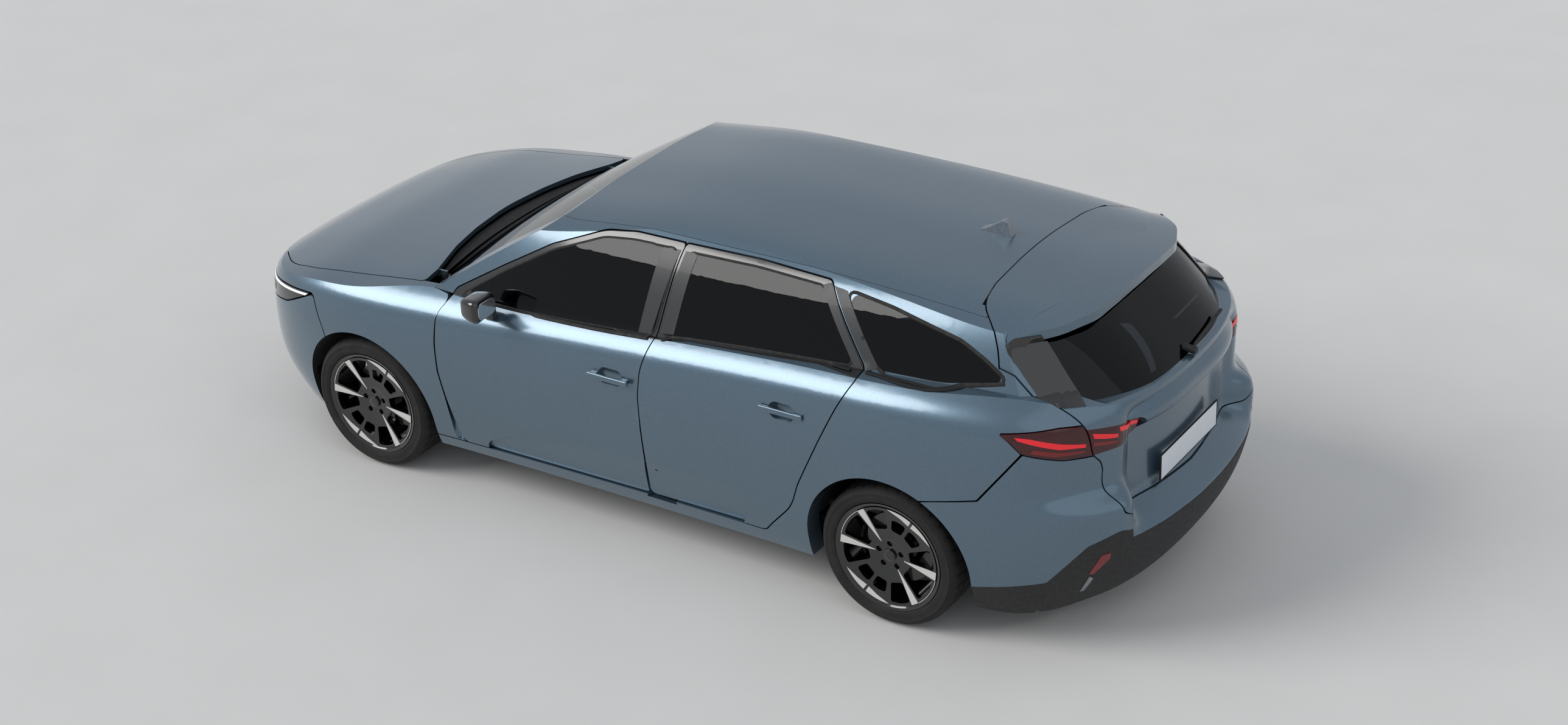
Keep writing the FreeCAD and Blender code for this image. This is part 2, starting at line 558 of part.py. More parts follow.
def body_side(hulls):
    """The left side frame: sill, pillars, roof rail and rear quarter, with hinge posts and arms."""
    side = hulls["side_wall"].common(side_prism(BODY_SIDE, 300, 1200))
    side = side.cut(side_prism(grown(FRONT_DOOR, SHUT_GAP / 2), 300, 1200))
    side = side.cut(side_prism(grown(REAR_DOOR, SHUT_GAP / 2), 300, 1200))
    side = side.cut(side_prism(QUARTER_GLASS, 300, 1200))
    side = side.cut(plan_prism(both(grown_half(ROOF_HALF, 2)), 1280, 1700))
    side = side.cut(hulls["tail_room"]).cut(hulls["arches"])
    side = side.cut(side_prism(grown(REAR_LAMP, 0.3), 300, 1200).cut(box(-3000, -1500, 300, 640, 800, 1100)))
    side = side.cut(screen_room())
    side = biggest(side.cut(box(870, 1300, 0, 742, 800, 985)))
    front_post = side_prism([(1003, 236), (1050, 236), (1050, 925), (1003, 925)], 765, 852)
    middle_post = side_prism([(-122, 236), (-38, 236), (-38, 900), (-122, 900)], 790, 846)
    window_post = end_prism([(765, 930), (728, 930), (690, 1060), (627, 1200), (577, 1300), (564, 1330), (594, 1330),
                             (624, 1296), (673, 1196), (736, 1048)], -180, -110)
    rail_web = box(-1480, 250, 590, 598, 1290, 1400).common(hulls["house"])
    links = [box(1003, 1050, 757, 786, 900, 970), box(-122, -38, 728, 800, 860, 900),
             box(-180, -38, 728, 766, 880, 960), box(-1000, 230, 556, 592, 1296, 1330)]
    posts = [front_post.common(hulls["post_room"]), middle_post.common(hulls["post_room"]), window_post, rail_web]
    swings = [swing_room(DOOR_HINGE_FRONT, FRONT_SWING), swing_room(DOOR_HINGE_REAR, REAR_SWING)]
    whole = joined([piece.cut(swings[0]).cut(swings[1]) for piece in [side] + posts + links])
    arms = [hinge_arm(DOOR_HINGE_FRONT, z, 75, 75) for z in HINGE_HEIGHTS]
    arms += [hinge_arm(DOOR_HINGE_REAR, z, 60, 60) for z in HINGE_HEIGHTS]
    return biggest(joined([whole] + arms))


def wing(hulls):
    skin = hulls["left_skin"].common(side_prism(WING, 300, 1200))
    skin = skin.cut(plan_prism(both(grown_half(BONNET_HALF, SHUT_GAP)), 500, 1300)).cut(hulls["arches"])
    skin = skin.cut([box(0, 1155, 0, 758, 0, 1300), box(900, 1066, 0, 791, 880, 1100)])
    return biggest(skin.cut(swing_room(DOOR_HINGE_FRONT, FRONT_SWING)))


def front_bumper(hulls):
    shell = hulls["front_bumper_skin"]
    side = shell.common(side_prism(FRONT_BUMPER))
    middle = shell.common(box(2100, 2400, -467, 467, 600, 731))
    bumper = side.fuse(middle).cut(hulls["arches"]).cut(mirrored(hulls["arches"]))
    bumper = bumper.cut(box(1400, 1900, -760, 760, 0, 400))
    bumper = bumper.cut(front_opening(430, 250, 392)).cut(front_opening(425, 652, 712))
    return biggest(bumper)


def front_opening(half, low, high):
    return end_prism([(half, low, 20), (half + 40, high, 20), (-half - 40, high, 20), (-half, low, 20)], 2000, 2500)


def grille(hulls):
    """Upper and lower grilles: slotted panels that fill the bumper's two openings."""
    panels = []
    for half, low, high, rows in ((430, 250, 392, 4), (425, 652, 712, 2)):
        panel = hulls["front_bumper_skin"].common(front_opening(half - 0.2, low + 0.2, high - 0.2))
        slots = []
        pitch = (high - low - 16) / rows
        for i in range(rows):
            z = low + 12 + pitch * i
            slots += [box(2000, 2500, y, y + 128, z, z + pitch - 8) for y in range(-414, 400, 140)]
        panels.append(biggest(panel.cut(slots)))
    return Part.makeCompound(panels)


def headlamp(hulls):
    block = hulls["block"].common(side_prism(HEADLAMP, 470, 1200))
    block = block.cut(plan_prism(both(grown_half(BONNET_HALF, SHUT_GAP)), 500, 1300))
    return biggest(block)


def bonnet(hulls):
    skin = hulls["skin"].common(plan_prism(both(BONNET_HALF), 500, 1300))
    skin = skin.common(side_prism([(1000, 1100), (2400, 1100), (2400, 736), (2200, 736), (1000, 700)]))
    whole = biggest(skin)
    x, z = BONNET_HINGE
    for y in (-640, 640):
        ear = box(x - 12, x + 90, y - 5, y + 5, z - 12, z + 20).fuse(cylinder_y(x, z, 14, y - 5, y + 5))
        whole = whole.fuse(ear.common(hulls["lower"]))
        whole = whole.cut(cylinder_y(x, z, PIN_RADIUS + 0.3, y - 20, y + 20))
    return whole


def roof_panel(hulls):
    skin = hulls["house"].cut(hulls["house"].translated(V(0, 0, -ROOF_WALL)))
    skin = skin.common(plan_prism(both(ROOF_HALF), 1250, 1700))
    skin = skin.cut(screen_room())
    skin = biggest(skin.cut(tailgate_swing()).cut(hulls["tail_room"]))
    x, z = TAILGATE_HINGE
    arms = []
    for y in (-TAILGATE_HINGE_Y, TAILGATE_HINGE_Y):
        arm = box(x - 8, x + 120, y - 9, y + 9, z - 72, z - 57).fuse(box(x + 84, x + 124, y - 20, y + 20, z - 72, z + 18))
        eye = cylinder_y(x, z, 12, y - 9, y + 9).fuse(box(x - 8, x + 8, y - 9, y + 9, z - 72, z - 4))
        arms.append(arm.fuse(eye).cut(cylinder_y(x, z, PIN_RADIUS + 0.3, y - 30, y + 30)))
    return joined([skin] + arms)


def tailgate_swing():
    x, z = TAILGATE_HINGE
    rows = [(-530, 22), (-450, 38), (-376, 51), (-150, 66), (0, 69), (150, 66), (376, 51), (450, 38), (530, 22)]
    points = [V(x, -530, z)] + [V(x, y, z + r) for y, r in rows] + [V(x, 530, z)]
    face = Part.Face(Part.makePolygon(points + [points[0]]))
    return face.revolve(V(x, 0, z), V(0, 1, 0), 360)


def tailgate(hulls):
    shell = hulls["tail_shell"].common(tailgate_room(0))
    shell = shell.cut(end_prism(both_end(BACK_GLASS_HALF), -2700, -1700))
    thin = hulls["house"].translated(V(0, 0, -12))
    for side in (-1, 1):
        edge = box(-1592, -1500, side * 520 - 120, side * 520 + 120, 1150, 1500)
        shell = shell.cut(thin.common(edge))
    whole = biggest(shell)
    spoiler = hulls["roof_slab"].common(plan_prism(both(SPOILER_HALF), 1200, 1500))
    whole = whole.fuse(biggest(spoiler))
    for lamp in tail_lamp_room():
        whole = whole.cut(lamp)
    x, z = TAILGATE_HINGE
    for y in (-TAILGATE_HINGE_Y, TAILGATE_HINGE_Y):
        pocket = cylinder_y(x, z, 16, y - 14, y + 14)
        pocket = pocket.fuse(box(x - 16, x + 120, y - 14, y + 14, z - 82, z + 10))
        whole = whole.cut(pocket).fuse(cylinder_y(x, z, PIN_RADIUS, y - 26, y + 26))
    return biggest(whole)


def tail_lamp_room():
    left = end_prism(TAIL_LAMP, -2400, -1950)
    return [left, mirrored(left)]


def tailgate_lamps(hulls):
    """The inner halves of the tail lamps, let into the tailgate."""
    slab = hulls["skin"].common(tailgate_room(0))
    return Part.makeCompound([biggest(slab.common(room)) for room in tail_lamp_room()])


def rear_lamps(hulls):
    block = hulls["block"].common(side_prism(REAR_LAMP, 300, 1200))
    left = biggest(block.cut(hulls["tail_room"]))
    return Part.makeCompound([left, mirrored(left)])


def rear_bumper(hulls):
    shell = hulls["rear_bumper_skin"].common(side_prism(REAR_BUMPER))
    shell = shell.cut(hulls["tail_room"]).cut(hulls["arches"]).cut(mirrored(hulls["arches"]))
    shell = shell.cut(box(-1900, -1000, -745, 745, 0, 600))
    valance = side_prism(VALANCE).cut(box(-2500, -2000, -560, 560, 521, 700))
    return biggest(shell.cut(valance)), biggest(shell.common(valance))


def quarter_panes(hulls):
    left = window_pane(hulls, grown(QUARTER_GLASS, -0.15), V(0, -5, -2.5))
    return Part.makeCompound([left, mirrored(left)])


def windscreen(hulls):
    solid = hulls["house"].common(end_prism(both_end(SCREEN_HALF), 200, 1300))
    solid = solid.common(plan_prism(both(SCREEN_TOP_HALF), 900, 1500))
    return biggest(solid.cut(hulls["house"].translated(V(-3, 0, -5))))


def back_glass(hulls):
    solid = hulls["house"].common(end_prism(both_end(grown_half(BACK_GLASS_HALF, -0.15)), -2700, -1750))
    return biggest(solid.cut(hulls["house"].translated(V(5, 0, -3.5))).cut(hulls["roof_slab"]))


def cowl(hulls):
    """The black scuttle between bonnet and windscreen."""
    tray = hulls["cowl_slab"].common(plan_prism(both([(1276, 0), (1255, 250), (1217, 440), (1150, 640), (1135, 738),
                                                      (1010, 738), (1010, 0)]), 800, 1100))
    ears = [box(1100, 1240, s * 644 - 20, s * 644 + 20, 880, 1000) for s in (-1, 1)]
    return biggest(tray.cut(hulls["house"].translated(V(2, 0, 3))).cut(ears))


def tyre():
    """A tyre about its own centre; its tread pattern is left to the finish."""
    half = TYRE_WIDTH / 2
    side = [(229.2, half - 15.2), (RIM_RADIUS + 0.4, half - 14.4), (272, half), (304, half - 5), (TYRE_RADIUS, half - 29)]
    return turned([(r, -y) for r, y in side] + [(r, y) for r, y in reversed(side)])


WINDOWS = [(14, 50), (62, 88), (96, 118), (124, 148), (156, 182)]


def rim():
    """A wheel rim for the left side: barrel, five-hole centre, blade spokes and the brake disc."""
    half = TYRE_WIDTH / 2
    barrel = turned([(229, -half + 15), (RIM_RADIUS, -half + 14), (RIM_RADIUS, -half + 6), (214, -half + 10),
                     (214, half - 24), (234, half - 10), (RIM_RADIUS, half - 6), (RIM_RADIUS, half - 14),
                     (229, half - 15), (224, 0)])
    face = turned([(30, half - 34), (80, half - 26), (180, half - 18), (226, half - 12), (218, half - 34),
                   (150, half - 48), (80, half - 58), (30, half - 60)])
    for low, high in WINDOWS + [(a + 180, b + 180) for a, b in WINDOWS]:
        outer = 178 if low % 180 in (96, 124) else 212
        face = face.cut(rim_window(low, high, 98 if low % 180 in (14, 156) else 126, outer))
    hub = turned([(24.3, half - 32), (66, half - 28), (76, half - 60), (76, -10), (24.3, -10)])
    disc = turned([(24.3, -14), (158, -14), (158, 8), (72, 8), (72, -4), (24.3, -4)])
    whole = barrel.multiFuse([face, hub, disc])
    for i in range(5):
        at = math.radians(90 + 72 * i)
        whole = whole.cut(cylinder_y(54 * math.cos(at), 54 * math.sin(at), BOLT_RADIUS, -20, half))
        whole = whole.cut(cylinder_y(54 * math.cos(at), 54 * math.sin(at), 12.5, half - 48, half))
    cap = cylinder_y(0, 0, 27, half - 36, half - 25)
    return whole.fuse(cap)


def rim_window(low, high, inner, outer):
    """An opening between two angles and two radii, with rounded corners."""
    a, b = math.radians(low), math.radians(high)
    points = [(inner * math.cos(a), inner * math.sin(a), 12), (outer * math.cos(a), outer * math.sin(a), 12)]
    middle = (a + b) / 2
    if high - low > 20:
        points.append((1.02 * outer * math.cos(middle), 1.02 * outer * math.sin(middle), 150))
    points += [(outer * math.cos(b), outer * math.sin(b), 12), (inner * math.cos(b), inner * math.sin(b), 12)]
    return side_prism(points, -5, 140)


def placed(shape, x, y):
    return shape.translated(V(x, y, AXLE_Z))


def knuckle(side):
    """Front hub carrier with its spindle, kingpin barrel and brake caliper; it steers with the wheel."""
    y = side * KINGPIN_Y
    x = FRONT_AXLE_X
    spindle = cylinder_y(x, AXLE_Z, 24, WHEEL_Y - 12, WHEEL_Y + 60)
    plate = cylinder_y(x, AXLE_Z, 60, WHEEL_Y - 34, WHEEL_Y - 18).fuse(cylinder_y(x, AXLE_Z, 24, WHEEL_Y - 34, WHEEL_Y))
    upright = box(x - 26, x + 26, KINGPIN_Y - 22, WHEEL_Y - 24, AXLE_Z - 100, AXLE_Z + 100)
    barrel = cylinder_z(x, KINGPIN_Y, 24, AXLE_Z - 110, AXLE_Z + 110)
    barrel = barrel.cut(cylinder_z(x, KINGPIN_Y, 12.3, AXLE_Z - 120, AXLE_Z + 120))
    upright = upright.cut(cylinder_z(x, KINGPIN_Y, 12.3, AXLE_Z - 120, AXLE_Z + 120))
    caliper = turned([(104, -34), (178, -34, 6), (178, 28, 6), (162, 28), (162, -20), (104, -20)])
    caliper = caliper.common(side_prism([(0, 0), (-300, 160), (-300, -160)], -100, 100)).translated(V(x, WHEEL_Y, AXLE_Z))
    bracket = box(x - 130, x - 20, WHEEL_Y - 34, WHEEL_Y - 22, AXLE_Z - 30, AXLE_Z + 30)
    whole = joined([spindle, plate, upright, barrel, caliper, bracket])
    whole = whole.cut(cylinder_z(x, KINGPIN_Y, 12.3, AXLE_Z - 120, AXLE_Z + 120))
    return whole if side > 0 else mirrored(whole)


FLOOR_Z = 236.0


def rounded_box(x0, x1, y0, y1, z0, z1, radius):
    shape = box(x0, x1, y0, y1, z0, z1)
    return shape.makeFillet(radius, shape.Edges)


def underbody(hulls):
    """Floor, tunnel, firewall, rear floor, wheelhouses, rails and crossmembers as one welded shell."""
    floor = box(-930, 1003, -744, 744, 222, FLOOR_Z)
    tunnel = side_less_tunnel(-930, 1090)
    firewall = side_prism([(1030, 222), (1050, 222), (1050, 930), (1030, 930)], -744, 744)
    heel = box(-950, -930, -744, 744, 222, 420)
    heel = heel.cut([box(-960, -920, s * 625 - 36, s * 625 + 36, 248, 324) for s in (-1, 1)])
    rear_floor = box(-2130, -930, -558, 558, 406, 420)
    tail_wall = box(-2130, -2110, -558, 558, 420, 578)
    rails = [box(1050, 2180, y - 35, y + 35, 440, 520) for y in (-430, 430)]
    beam = box(2170, 2215, -470, 470, 430, 530)
    side_walls = [box(-2130, -930, s * 551 - 7, s * 551 + 7, 406, 560) for s in (-1, 1)]
    houses = []
    for x, radius, y0, tall in ((FRONT_AXLE_X, FRONT_ARCH, 488, 0), (REAR_AXLE_X, REAR_ARCH, 558, 1)):
        ring = cylinder_y(x, AXLE_Z, radius + 7, y0, 866).cut(cylinder_y(x, AXLE_Z, radius + 1, y0 + 7, 900))
        ring = ring.cut(box(x - 500, x + 500, 300, 1200, -200, AXLE_Z + (60 if tall else 80)))
        ring = ring.common(hulls["lower_in"] if tall else hulls["liner_room"])
        houses += [ring, mirrored(ring)]
    links = [box(1000, 1120, s * 470 - 24, s * 470 + 24, 480, 520) for s in (-1, 1)]
    towers = [cylinder_z(FRONT_AXLE_X, s * STRUT_Y, 75, 660, 800) for s in (-1, 1)]
    sides = [box(-930, 1003, s * 740.3 - 4.5, s * 740.3 + 4.5, 222, 300) for s in (-1, 1)]
    whole = joined(bonnet_brackets() + [floor.cut(tunnel[1]), tunnel[0], firewall.cut(tunnel[1]), heel.cut(tunnel[1]), rear_floor, tail_wall,
                    beam] + rails + side_walls + houses + links + towers + sides)
    for s in (-1, 1):
        whole = whole.cut(cylinder_z(FRONT_AXLE_X, s * STRUT_Y, 60, 600, 780))
    return biggest(whole)


def bonnet_brackets():
    """Fixed brackets with the pins that the bonnet's ears turn on."""
    x, z = BONNET_HINGE
    side = [(1045, 890), (x + 14, 890), (x + 14, z + 12, 10), (x - 14, z + 12, 10), (x - 20, 924), (1045, 924)]
    bracket = side_prism(side, 650.5, 656.5).fuse(cylinder_y(x, z, PIN_RADIUS, 630, 656))
    return [bracket, mirrored(bracket)]


def side_less_tunnel(x0, x1):
    """The centre tunnel as a bent sheet, and the room under it."""
    half = [(0, 400), (90, 400, 40), (135, 222)]
    outer = end_prism(both_end(half), x0, x1)
    inner = end_prism(both_end([(0, 388), (82, 388, 32), (122, 210)]), x0 - 30, x1 + 5)
    return outer.cut(inner), inner


def dashboard():
    """The dashboard, steering column and centre console."""
    body = side_prism([(1028, 880), (1028, 600), (900, 560, 60), (760, 600, 60), (690, 700, 50), (700, 850, 60),
                       (820, 905, 90), (1000, 925, 30)], -728, 728)
    console = side_prism([(760, 402), (760, 640), (640, 600, 60), (300, 560, 60), (-60, 560, 60), (-60, 402)], -114, 114)
    column = tube([V(880, 370, 640), V(640, 370, 735)], 30)
    bore = Part.makeCylinder(9.3, 92, V(640, 370, 735), V(240, 0, -95))
    return joined([body, console, column]).cut(bore)


def steering_wheel():
    """Rim, three spokes, boss and a stub shaft in the column, about the column's own slanted axis."""
    axis = V(-240, 0, 95).normalize()
    centre = V(640, 370, 735) + axis * 62
    across = axis.cross(V(0, 1, 0)).normalize()
    rim = Part.makeTorus(178, 14, centre, axis)
    boss = Part.makeCylinder(52, 44, centre - axis * 40, axis)
    spokes = []
    for angle in (0, 180, 270):
        turn = FreeCAD.Rotation(axis, angle)
        reach = turn.multVec(V(0, 1, 0))
        spokes.append(Part.makeCylinder(12, 132, centre - axis * 18 + reach * 40, reach + axis * 0.12))
    shaft = Part.makeCylinder(9, 90, V(640, 370, 735) - axis * 62, axis)
    return joined([rim, boss] + spokes + [shaft])


def front_seat(side):
    """A front seat: base, cushion, backrest and head restraint."""
    y = side * 370
    base = joined([box(150, 610, y - 205, y - 165, FLOOR_Z, 330), box(150, 610, y + 165, y + 205, FLOOR_Z, 330),
                   box(150, 610, y - 205, y + 205, 318, 346)])
    cushion = rounded_box(120, 640, y - 250, y + 250, 346, 480, 40)
    back = side_prism([(60, 420), (210, 420), (120, 1010), (20, 1000)], y - 240, y + 240)
    back = back.makeFillet(35, back.Edges)
    rest = rounded_box(-25, 85, y - 125, y + 125, 1030, 1190, 34).translated(V(20, 0, 0))
    posts = [cylinder_z(50, y + dy, 8, 960, 1060) for dy in (-60, 60)]
    return joined([base, cushion, back, rest] + posts)


def rear_seat():
    cushion = rounded_box(-870, -330, -640, 640, 300, 460, 45).cut(box(-950, -300, -141, 141, 200, 402))
    plinth = box(-860, -340, -560, 560, FLOOR_Z, 310).cut(box(-900, -300, -140, 140, 200, 402))
    back = side_prism([(-900, 424), (-760, 424), (-880, 1010), (-975, 1000)], -600, 600)
    back = back.makeFillet(32, back.Edges)
    rests = [rounded_box(-1010, -915, y - 115, y + 115, 1020, 1160, 32) for y in (-400, 0, 400)]
    posts = [cylinder_z(-955, y + dy, 8, 960, 1050) for y in (-400, 0, 400) for dy in (-50, 50)]
    return joined([cushion, plinth, back] + rests + posts)


def engine():
    block = joined([box(1130, 1640, -260, 300, 470, 820), box(1640, 1860, -380, 380, 420, 700),
                    box(1180, 1600, -220, 260, 300, 475)])
    mounts = [box(1500, 1580, 255, 394.7, 470, 520), box(1500, 1580, -394.7, -255, 470, 520)]
    return joined([block] + mounts)


def front_frame():
    """Front subframe, lower arms, kingpins and struts: the fixed side of the front suspension."""
    x = FRONT_AXLE_X
    cross = joined([box(x - 180, x - 60, -420, 420, 205, 262), box(x + 80, x + 180, -420, 420, 205, 262),
                    box(x - 180, x + 180, -420, -350, 205, 262), box(x - 180, x + 180, 350, 420, 205, 262)])
    sides = []
    for s in (-1, 1):
        arm = side_arm(x, s)
        pin = cylinder_z(x, s * KINGPIN_Y, 12, AXLE_Z - 140, AXLE_Z + 150)
        foot = cylinder_z(x, s * KINGPIN_Y, 22, AXLE_Z - 140, AXLE_Z - 112)
        top = cylinder_z(x, s * KINGPIN_Y, 22, AXLE_Z + 112, AXLE_Z + 150)
        bridge = box(x - 22, x + 22, s * 645 - 90, s * 645 + 90, AXLE_Z + 114, AXLE_Z + 148)
        strut = cylinder_z(x, s * STRUT_Y, 22, AXLE_Z + 120, 720)
        coil = cylinder_z(x, s * STRUT_Y, 36, 560, 720)
        seat = cylinder_z(x, s * STRUT_Y, 59.7, 700, 779.7)
        sides += [arm, pin, foot, top, bridge, strut, coil, seat]
    posts = [box(x - 160, x - 90, s * 430 - 30, s * 430 + 30, 255, 439.8) for s in (-1, 1)]
    return joined([cross] + posts + sides)


def side_arm(x, s):
    points = [(x - 150, s * 400), (x + 150, s * 400), (x + 22, s * KINGPIN_Y), (x - 22, s * KINGPIN_Y)]
    face = Part.Face(Part.makePolygon([V(a, b, 182) for a, b in points + points[:1]]))
    return face.extrude(V(0, 0, 25))


def rear_frame():
    """Rear axle beam, trailing arms, spindles and calipers."""
    x = REAR_AXLE_X
    beam = cylinder_y(x, AXLE_Z - 20, 38, -560, 560)
    parts = [beam]
    for s in (-1, 1):
        spindle = cylinder_y(x, AXLE_Z, 24, WHEEL_Y - 12, WHEEL_Y + 60)
        plate = cylinder_y(x, AXLE_Z, 60, WHEEL_Y - 48, WHEEL_Y - 18)
        stub = cylinder_y(x, AXLE_Z, 24, WHEEL_Y - 48, WHEEL_Y)
        link = cylinder_y(x, AXLE_Z - 10, 44, 540, WHEEL_Y - 20)
        arm = box(x - 20, x + 420, 600, 650, AXLE_Z - 60, AXLE_Z - 5)
        bush = cylinder_y(x + 400, AXLE_Z - 32, 38, 590, 735.7)
        caliper = turned([(104, -34), (174, -34, 6), (174, 28, 6), (162, 28), (162, -20), (104, -20)])
        caliper = caliper.common(side_prism([(0, 0), (300, 130), (300, -130)], -100, 100))
        caliper = caliper.translated(V(x, WHEEL_Y, AXLE_Z))
        bracket = box(x + 20, x + 130, WHEEL_Y - 40, WHEEL_Y - 22, AXLE_Z - 24, AXLE_Z + 24)
        tower = cylinder_z(x - 40, 500, 45, AXLE_Z, 406)
        side = [spindle, plate, stub, link, arm, bush, caliper, bracket, tower]
        parts += side if s > 0 else [mirrored(p) for p in side]
    return joined(parts)


def under_floor():
    """Exhaust line, silencer and the flat battery box under the floor."""
    battery = rounded_box(-700, 100, 190, 690, 150, 221.7, 12)
    tank = rounded_box(-880, -200, -690, -190, 150, 221.7, 12)
    pipe = tube([V(1000, 0, 250), V(-970, 0, 250), V(-1130, 290, 222), V(-1700, 300, 222)], 26)
    box_rear = rounded_box(-2060, -1640, -420, 420, 205, 405.7, 30)
    tail = tube([V(-2040, 330, 260), V(-2112, 330, 255)], 26)
    return Part.makeCompound([battery, tank, joined([pipe, box_rear, tail])])


def mirror(hulls):
    """A door mirror: shell on a foot that stands on the front door's shoulder."""
    side = [(642, 950, 16), (642, 1068, 24), (706, 1080, 60), (760, 1048, 70), (764, 985, 60), (712, 946, 50)]
    rear = [(852, 962, 30), (870, 1058, 50), (985, 1081, 60), (1025, 1040, 50), (1022, 972, 50), (960, 945, 60)]
    plan = [(642, 840), (642, 1016, 20), (690, 1025, 60), (764, 985, 90), (758, 845, 60)]
    shell = side_prism(side, 820, 1100).common(end_prism(rear, 600, 800)).common(plan_prism(plan, 900, 1100))
    foot = side_prism([(662, 880), (780, 880), (748, 966), (676, 966)], 846, 925).cut(hulls["lower"])
    return joined([shell, foot])


def antenna(hulls):
    fin = side_prism([(-1200, 1400), (-1290, 1435, 60), (-1352, 1476, 25), (-1372, 1472, 8), (-1395, 1400)], -22, 22)
    return fin.cut(hulls["house"])


def rear_wiper(hulls):
    root = Part.makeCylinder(16, 60, V(-2215, 0, 1084), V(60, 0, 6))
    arm = tube([V(-2206, 0, 1086), V(-2190, -40, 1092), V(-2164, -340, 1104)], 7)
    return biggest(joined([root, arm]).cut(hulls["house"].translated(V(-0.3, 0, 0.1))))


def rear_plate(hulls):
    """The blank number plate on its pad, which fills the gap to the curved tailgate."""
    plate = box(-2196, -2192, -260, 260, 617, 727)
    pad = box(-2192, -2120, -200, 200, 631, 713).cut(hulls["lower"])
    return plate.fuse(biggest(pad))


# Main
def save(name, shape):
    shape.exportStep("parts/" + name + ".step")


def main():
    os.makedirs("parts", exist_ok=True)
    hulls = build_hulls()
    hulls["post_room"] = lower_hull(SKIN_WALL + 8, LID_WALL + 8)
    hulls["liner_room"] = lower_hull(BUMPER_WALL + 1, LID_WALL + 40)
    xs = [-1000, -1300, -1500, -1650, -1800, -1900, -2000, -2100]
    ys = [-800, -700, -600, -450, -250, 0, 250, 450, 600, 700, 800]
    hulls["roof_slab"] = under([[V(x, y, ROOF_CENTRE(x) - ROOF_DROP(abs(y))) for y in ys] for x in xs], 38)
    xs, ys = [1320, 1250, 1180, 1100, 1000], [-800, -600, -300, 0, 300, 600, 800]
    hulls["cowl_slab"] = under([[V(x, y, CAP_CENTRE(x) - CAP_DROP(abs(y)) - 30) for y in ys] for x in xs], 10)
    parts = {}
    doors = {
        "door_front": door(hulls, FRONT_DOOR, FRONT_GLASS, DOOR_HINGE_FRONT, 962, -28).cut(
            swing_room(DOOR_HINGE_REAR, REAR_SWING)),
        "door_rear": door(hulls, REAR_DOOR, REAR_GLASS, DOOR_HINGE_REAR, -135, -800),
    }
    for name, handle in (("door_front", (-60, 150, 817, 893)), ("door_rear", (-925, -715, 880, 886))):
        doors[name] = biggest(doors[name].cut(handle_cup(*handle))).fuse(door_handle(*handle))
    glass = {
        "door_front": window_pane(hulls, grown(FRONT_GLASS, -0.15), V(0, -5, -2.5)),
        "door_rear": window_pane(hulls, grown(REAR_GLASS, -0.15), V(0, -5, -2.5)),
    }
    one_sided = {"body_side": body_side(hulls), "wing": wing(hulls), "headlamp": headlamp(hulls),
                 "mirror": mirror(hulls)}
    for name, shape in one_sided.items():
        parts[name + "_left"], parts[name + "_right"] = shape, mirrored(shape)
    for name in doors:
        parts[name + "_left"], parts[name + "_right"] = doors[name], mirrored(doors[name])
        parts[name + "_glass_left"], parts[name + "_glass_right"] = glass[name], mirrored(glass[name])
    wheel_rim, wheel_tyre = rim(), tyre()
    for end, x in (("front", FRONT_AXLE_X), ("rear", REAR_AXLE_X)):
        for side, y in (("left", WHEEL_Y), ("right", -WHEEL_Y)):
            turned_rim = wheel_rim if y > 0 else mirrored(wheel_rim)
            parts["rim_%s_%s" % (end, side)] = placed(turned_rim, x, y)
            parts["tyre_%s_%s" % (end, side)] = placed(wheel_tyre, x, y)
    parts["knuckle_left"], parts["knuckle_right"] = knuckle(1), knuckle(-1)
    parts["front_bumper"], parts["grille"] = front_bumper(hulls), grille(hulls)
    parts["bonnet"], parts["roof_panel"] = bonnet(hulls), roof_panel(hulls)
    parts["tailgate"], parts["tailgate_lamps"] = tailgate(hulls), tailgate_lamps(hulls)
    parts["rear_bumper"], parts["rear_valance"] = rear_bumper(hulls)
    parts["rear_lamps"] = rear_lamps(hulls)
    parts["quarter_glass"], parts["windscreen"] = quarter_panes(hulls), windscreen(hulls)
    parts["back_glass"], parts["cowl"] = back_glass(hulls), cowl(hulls)
    parts["underbody"], parts["dashboard"] = underbody(hulls), dashboard()
    parts["steering_wheel"], parts["rear_seat"] = steering_wheel(), rear_seat()
    parts["front_seat_left"], parts["front_seat_right"] = front_seat(1), front_seat(-1)
    parts["engine"], parts["front_frame"] = engine(), front_frame()
    parts["rear_frame"], parts["under_floor"] = rear_frame(), under_floor()
    parts["antenna"], parts["rear_wiper"] = antenna(hulls), rear_wiper(hulls)
    parts["rear_plate"] = rear_plate(hulls)
    for name, shape in parts.items():
        save(name, shape)


main()
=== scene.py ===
"""Station wagon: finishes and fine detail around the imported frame. Metres, +X forward, +Y left, +Z up."""
import math

import bmesh
import bpy
from mathutils import Matrix, Vector
from mathutils.bvhtree import BVHTree
from mathutils.geometry import delaunay_2d_cdt


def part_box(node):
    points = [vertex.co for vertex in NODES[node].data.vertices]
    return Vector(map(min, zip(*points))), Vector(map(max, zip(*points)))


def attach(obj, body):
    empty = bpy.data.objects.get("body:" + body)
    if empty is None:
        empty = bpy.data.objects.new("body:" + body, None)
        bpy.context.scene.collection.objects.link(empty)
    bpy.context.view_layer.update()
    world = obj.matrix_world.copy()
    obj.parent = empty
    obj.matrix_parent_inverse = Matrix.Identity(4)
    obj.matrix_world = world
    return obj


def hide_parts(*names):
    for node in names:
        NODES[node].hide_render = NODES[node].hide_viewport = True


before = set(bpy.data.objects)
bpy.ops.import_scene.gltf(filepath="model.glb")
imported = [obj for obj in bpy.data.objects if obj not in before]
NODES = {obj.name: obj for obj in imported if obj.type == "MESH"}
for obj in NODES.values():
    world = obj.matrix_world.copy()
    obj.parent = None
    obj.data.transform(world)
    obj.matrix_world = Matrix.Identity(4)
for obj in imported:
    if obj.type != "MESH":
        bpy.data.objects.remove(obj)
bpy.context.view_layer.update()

AXLE_FRONT = 1.445
AXLE_REAR = -1.287
